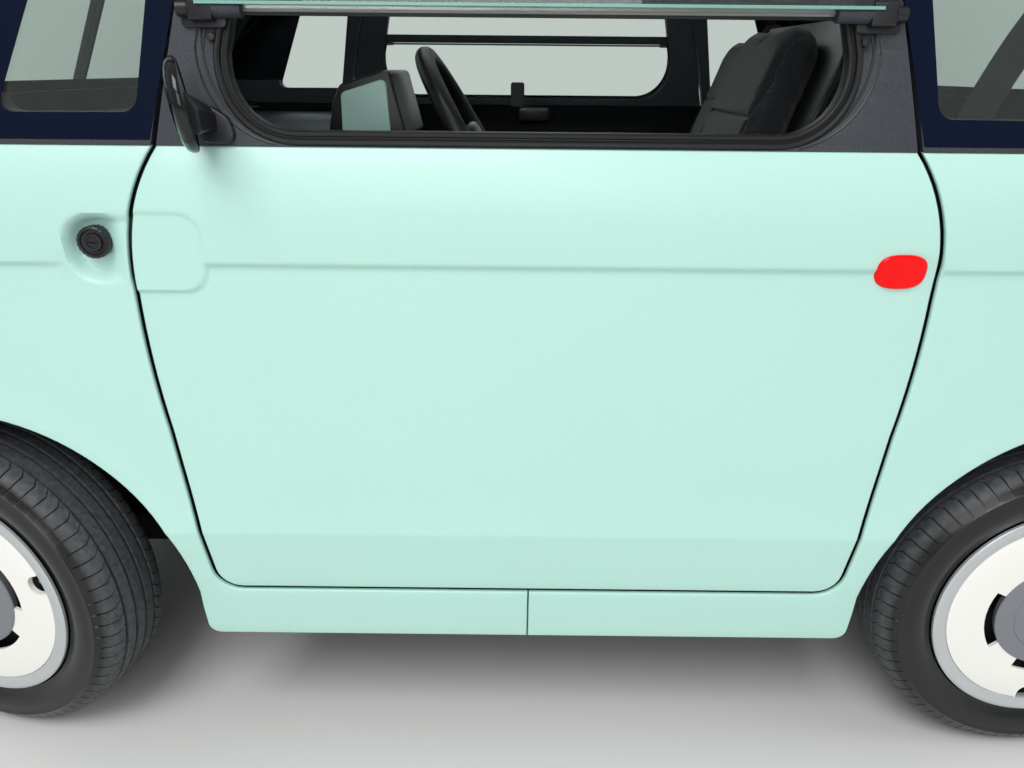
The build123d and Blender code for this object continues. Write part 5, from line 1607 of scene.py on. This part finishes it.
class MICROCAR_OT_belts(bpy.types.Operator):
    """Builds the seat belts, from a guide on each rear pillar down to the floor beside the seat"""
    bl_idname = "microcar.belts"
    bl_label = "Seat belts"

    half_width = 0.023
    # The strap's middle line, from the guide down to the floor
    run = ((-0.660, 0.612, 1.165), (-0.632, 0.606, 1.110), (-0.596, 0.600, 1.020), (-0.560, 0.594, 0.900),
           (-0.520, 0.586, 0.760), (-0.470, 0.574, 0.620), (-0.420, 0.562, 0.500))

    def execute(self, context):
        run = [Vector(point) for point in self.run]

        def place(column, row):
            along = (run[min(row + 1, len(run) - 1)] - run[max(row - 1, 0)]).normalized()
            across = along.cross(Vector((0.10, 1.0, 0.0))).normalized()
            return run[row] + across * self.half_width * (column - 2) / 2

        strap = lattice("belt_left", 5, len(run), place)
        apply(strap, "SOLIDIFY", thickness=0.0016, offset=0.0)
        apply(strap, "SUBSURF", levels=2, render_levels=2)
        outwards(strap)
        guide = lathe("belt_guide_left", [(0.010, AXIS_R), (0.010, 0.022), (0.006, 0.026), (-0.012, 0.026),
                                          (-0.012, AXIS_R)], 40)
        guide.data.transform(aim((0.0, -1.0, -0.1), (-0.668, 0.626, 1.178)))
        for obj, finish in ((strap, "belt_webbing"), (guide, "smooth_black_plastic")):
            for piece in mates(obj, FLIP_Y):
                dress(piece, finish, "root", "black_plastic", angle=40)
        return {"FINISHED"}


class MICROCAR_OT_seats(bpy.types.Operator):
    """Swells the seats' cushions and backs like knitted covers on foam, and sews their seams"""
    bl_idname = "microcar.seats"
    bl_label = "Seats"

    voxel = 0.006
    pressure = 4.0
    frames = 20
    most = 0.016
    seam_depth = 0.0070
    seam_half = 0.0070
    front_depth = 0.014
    sink = 0.010
    to_passenger = Matrix.Translation((-0.120, -0.600, 0.0))
    recline = radians(19.5)
    cushion_rise = atan2(0.036, 0.250)
    # Outlines as (along, across), the bolster seams' distance from the middle, and the seams across
    cushion_flat = (((-0.118, 0.190), (-0.118, -0.190), (0.116, -0.182), (0.116, 0.182)),
                    [0.030, 0.030, 0.055, 0.055], 8)
    cushion_seams = (0.132, (-0.030,))
    back_flat = (((0.470, -0.184), (0.706, -0.142), (0.706, 0.142), (0.470, 0.184), (0.022, 0.188),
                  (0.022, -0.188)), [0.10, 0.050, 0.050, 0.10, 0.035, 0.035], 8)
    back_seams = (0.128, (0.150, 0.285, 0.420, 0.545))

    def execute(self, context):
        shell = smooth_copy("seat_shells", "seat_shell_moulding", 0.004)
        dress(shell, "smooth_black_plastic", "root", "black_plastic", ["seat_shells"], 40)
        rise, lean = self.cushion_rise, self.recline
        rows = (  # name, outline, seams, origin, direction along, direction out, node
            ("seat_cushion_driver", self.cushion_flat, self.cushion_seams, (-0.036, 0.300, 0.518),
             (cos(rise), 0.0, sin(rise)), (-sin(rise), 0.0, cos(rise)), "seat_cushions"),
            ("seat_back_driver", self.back_flat, self.back_seams, (-0.160, 0.300, 0.500),
             (-sin(lean), 0.0, cos(lean)), (cos(lean), 0.0, sin(lean)), "seat_backs"),
        )
        for name, flat, seams, origin, along, outward, node in rows:
            pad = self.swell(plate(name, rounded(*flat), 0.040, 0.010))
            self.sew(pad, *seams)
            pad.data.transform(self.place_on(origin, along, outward))
            for piece in mates(pad, self.to_passenger, "driver", "passenger"):
                dress(piece, "seat_knit", "root", "seat_fabric", [node], 60)
        return {"FINISHED"}

    def place_on(self, origin, along, outward):
        """The matrix that takes a flat plate's X along a seat and its Y out of it, sunk into its shell."""
        x, y = Vector(along), Vector(outward)
        z = x.cross(y)
        return Matrix.Translation(Vector(origin) - y * self.sink) @ Matrix((x, y, z)).transposed().to_4x4()

    def swell(self, obj):
        """Fills the pad with cloth pressure, holding each point near where it started."""
        outwards(obj)
        apply(obj, "REMESH", mode="VOXEL", voxel_size=self.voxel)
        start = [vertex.co.copy() for vertex in obj.data.vertices]
        scene = bpy.context.scene
        scene.frame_set(1)
        cloth = obj.modifiers.new("Cloth", "CLOTH")
        cloth.settings.quality = 5
        cloth.settings.mass = 0.3
        cloth.settings.tension_stiffness = 20
        cloth.settings.compression_stiffness = 20
        cloth.settings.bending_stiffness = 0.6
        cloth.settings.use_pressure = True
        cloth.settings.uniform_pressure_force = self.pressure
        cloth.settings.effector_weights.gravity = 0.0
        for number in range(1, self.frames + 1):
            scene.frame_set(number)
        moved = obj.evaluated_get(bpy.context.evaluated_depsgraph_get()).data
        ends = [vertex.co.copy() for vertex in moved.vertices]
        obj.modifiers.remove(cloth)
        scene.frame_set(1)
        for vertex, here, there in zip(obj.data.vertices, start, ends):
            step = there - here
            if step.length > self.most:
                step *= self.most / step.length
            vertex.co = here + step
        return obj

    def sew(self, obj, bolster, rows):
        """Presses the seams into the cover's front: two along the bolsters and some across between them."""
        apply(obj, "SUBSURF", levels=1, render_levels=1)
        for vertex in obj.data.vertices:
            x, y, z = vertex.co
            if y < -self.front_depth:
                continue
            gap = abs(abs(z) - bolster)
            if abs(z) < bolster:
                gap = min([gap] + [abs(x - row) for row in rows])
            vertex.co.y -= self.seam_depth * smooth(1 - gap / self.seam_half) ** 2


class MICROCAR_OT_lamps(bpy.types.Operator):
    """Builds the round headlamps and tail lamps in the end panels' holes"""
    bl_idname = "microcar.lamps"
    bl_label = "Lamps"

    turns = 72
    guide_r = 0.004

    def execute(self, context):
        self.build("head", HEADLAMP_R, "clear_lamp_lens", "headlamps", AS_BUILT)
        self.build("tail", TAIL_LAMP_R, "red_lamp_lens", "tail_lamps", HALF_TURN)
        return {"FINISHED"}

    def build(self, kind, r, lens_finish, node, turned):
        """A bowl with a ring of light guide, behind a domed lens in a thin bezel."""
        bowl = lathe(f"{kind}lamp_bowl", [(0.000, r - 0.004), (-0.010, r - 0.010), (-0.022, r * 0.62),
                                          (-0.024, r * 0.40), (-0.030, r * 0.30), (-0.030, AXIS_R),
                                          (-0.034, AXIS_R), (-0.034, r * 0.60), (-0.026, r - 0.006),
                                          (-0.012, r - 0.0015)], self.turns)
        tube = [2 * pi * i / 10 for i in range(10)]
        guide = lathe(f"{kind}lamp_guide", [(-0.010 + self.guide_r * sin(a), r * 0.72 + self.guide_r * cos(a))
                                            for a in tube], self.turns)
        bezel = lathe(f"{kind}lamp_bezel", [(-0.012, r - 0.0005), (0.002, r - 0.0005), (0.0045, r - 0.002),
                                            (0.0055, r - 0.004), (0.0050, r - 0.0065), (0.001, r - 0.0075),
                                            (-0.012, r - 0.006)], self.turns)
        glass = lathe(f"{kind}lamp_lens", [(0.0010, r - 0.0068), (0.0040, r - 0.012), (0.0072, r * 0.6),
                                           (0.0086, r * 0.3), (0.0090, AXIS_R), (0.0060, AXIS_R),
                                           (0.0056, r * 0.3), (0.0042, r * 0.6), (0.0010, r - 0.012),
                                           (-0.0020, r - 0.0068)], self.turns)
        rows = (  # piece, finish, slot
            (bowl, "lamp_reflector", "chrome"),
            (guide, "cover_plastic", "clear_lens"),
            (bezel, "smooth_black_plastic", "black_plastic"),
            (glass, lens_finish, "clear_lens" if kind == "head" else "red_lens"),
        )
        for obj, finish, slot in rows:
            for side, label in ((1, "left"), (-1, "right")):
                piece = copy_of(obj, f"{obj.name}_{label}", turned @ lamp_place(side))
                dress(piece, finish, "root", slot, [node])
            bpy.data.objects.remove(obj, do_unlink=True)


class MICROCAR_OT_trim(bpy.types.Operator):
    """Builds the bumper bars, the wiper, the wheels' splash shields and the blank number plates"""
    bl_idname = "microcar.trim"
    bl_label = "Trim at the ends"

    plate_z = 0.600
    shield_y = 0.330

    def execute(self, context):
        bars = smooth_copy("bumper_strips", "bumper_bars", 0.005)
        dress(bars, "chromed_trim", "root", "chrome", ["bumper_strips"], 40)
        shield = plate("splash_shield_left", rounded(
            [(0.610, 0.250), (1.150, 0.250), (1.150, 0.520), (1.020, 0.600), (0.700, 0.600), (0.610, 0.500)],
            [0.02] * 6), 0.003, 0.0008)
        shield.data.transform(Matrix.Translation((0, self.shield_y, 0)))
        for obj in mates(shield, FLIP_Y):
            dress(obj, "felt_liner", "root", "black_plastic")
        wiper = smooth_copy("wiper", "windscreen_wiper", 0.002)
        dress(wiper, "smooth_black_plastic", "root", "black_plastic", ["wiper"], 40)
        reach = at_height(END_CHAIN, self.plate_z)
        holder = plate("plate_holder_front", rounded_box(-0.185, 0.185, -0.064, 0.064, 0.010), 0.026, 0.003)
        blank = plate("number_plate_front", rounded_box(-0.178, 0.178, -0.056, 0.056, 0.007), 0.003, 0.0008)
        for obj, proud, finish in ((holder, 0.0050, "smooth_black_plastic"), (blank, 0.0064, "plate_enamel")):
            obj.data.transform(aim((1.0, 0.0, 0.04), (reach + proud, 0.0, self.plate_z)))
            for piece in mates(obj, HALF_TURN, "front", "rear"):
                dress(piece, finish, "root", "black_plastic")
        return {"FINISHED"}


class MICROCAR_OT_running_gear(bpy.types.Operator):
    """Gives every construction node that stays its own material"""
    bl_idname = "microcar.running_gear"
    bl_label = "Running gear"

    finishes = {
        "felt_liner": ("arch_liners", "bulkheads"),
        "coated_frame_steel": ("floor_pan", "front_arms", "strut_towers", "chassis_rails", "cross_members",
                               "rear_axle", "knuckle_left", "knuckle_right", "seat_feet"),
        "zinc_plated_steel": ("body_hinges", "door_left_hinge", "door_right_hinge"),
        "painted_castings": ("motor_block",),
        "smooth_black_plastic": ("battery_block", "steering_column"),
        "tinted_float_glass": ("screens", "quarter_glasses", "roof_glass", "door_left_pane",
                               "door_right_pane", "door_left_flap", "door_right_flap"),
    }

    def execute(self, context):
        for finish, nodes in self.finishes.items():
            for node in nodes:
                data = frame["nodes"][node].data
                data.materials.clear()
                data.materials.append(bpy.data.materials[finish])
        return {"FINISHED"}


class MICROCAR_PT_panel(bpy.types.Panel):
    """Lists the microcar's steps in the order in which they are built"""
    bl_idname = "MICROCAR_PT_panel"
    bl_label = "Microcar"
    bl_space_type = "VIEW_3D"
    bl_region_type = "UI"
    bl_category = "Microcar"

    def draw(self, context):
        scene = context.scene
        for settings in (scene.car_body, scene.car_wheels, scene.car_cabin, scene.car_stage):
            for name in settings.__annotations__:
                self.layout.prop(settings, name)
        for step in STEPS:
            self.layout.operator(step.bl_idname)


SETTINGS = (
    ("car_body", BodySettings),
    ("car_wheels", WheelSettings),
    ("car_cabin", CabinSettings),
    ("car_stage", StageSettings),
)
STEPS = (
    MICROCAR_OT_stage,
    MICROCAR_OT_side_panels,
    MICROCAR_OT_doors,
    MICROCAR_OT_end_panels,
    MICROCAR_OT_window_frames,
    MICROCAR_OT_pillars,
    MICROCAR_OT_seals,
    MICROCAR_OT_glass_borders,
    MICROCAR_OT_flap_fittings,
    MICROCAR_OT_mirrors,
    MICROCAR_OT_fittings,
    MICROCAR_OT_wheels,
    MICROCAR_OT_steering,
    MICROCAR_OT_cabin,
    MICROCAR_OT_belts,
    MICROCAR_OT_seats,
    MICROCAR_OT_lamps,
    MICROCAR_OT_trim,
    MICROCAR_OT_running_gear,
)


def register():
    """Adds the settings to the scene, and the steps and the panel to Blender."""
    for name, group in SETTINGS:
        bpy.utils.register_class(group)
        setattr(bpy.types.Scene, name, PointerProperty(type=group))
    for step in STEPS:
        bpy.utils.register_class(step)
    bpy.utils.register_class(MICROCAR_PT_panel)


def unregister():
    """Takes away what register added, in reverse."""
    bpy.utils.unregister_class(MICROCAR_PT_panel)
    for step in reversed(STEPS):
        bpy.utils.unregister_class(step)
    for name, group in reversed(SETTINGS):
        delattr(bpy.types.Scene, name)
        bpy.utils.unregister_class(group)


def main():
    register()
    build_finishes(bpy.context.scene)
    for step in STEPS:
        family, action = step.bl_idname.split(".")
        getattr(getattr(bpy.ops, family), action)()


if __name__ == "__main__":
    main()
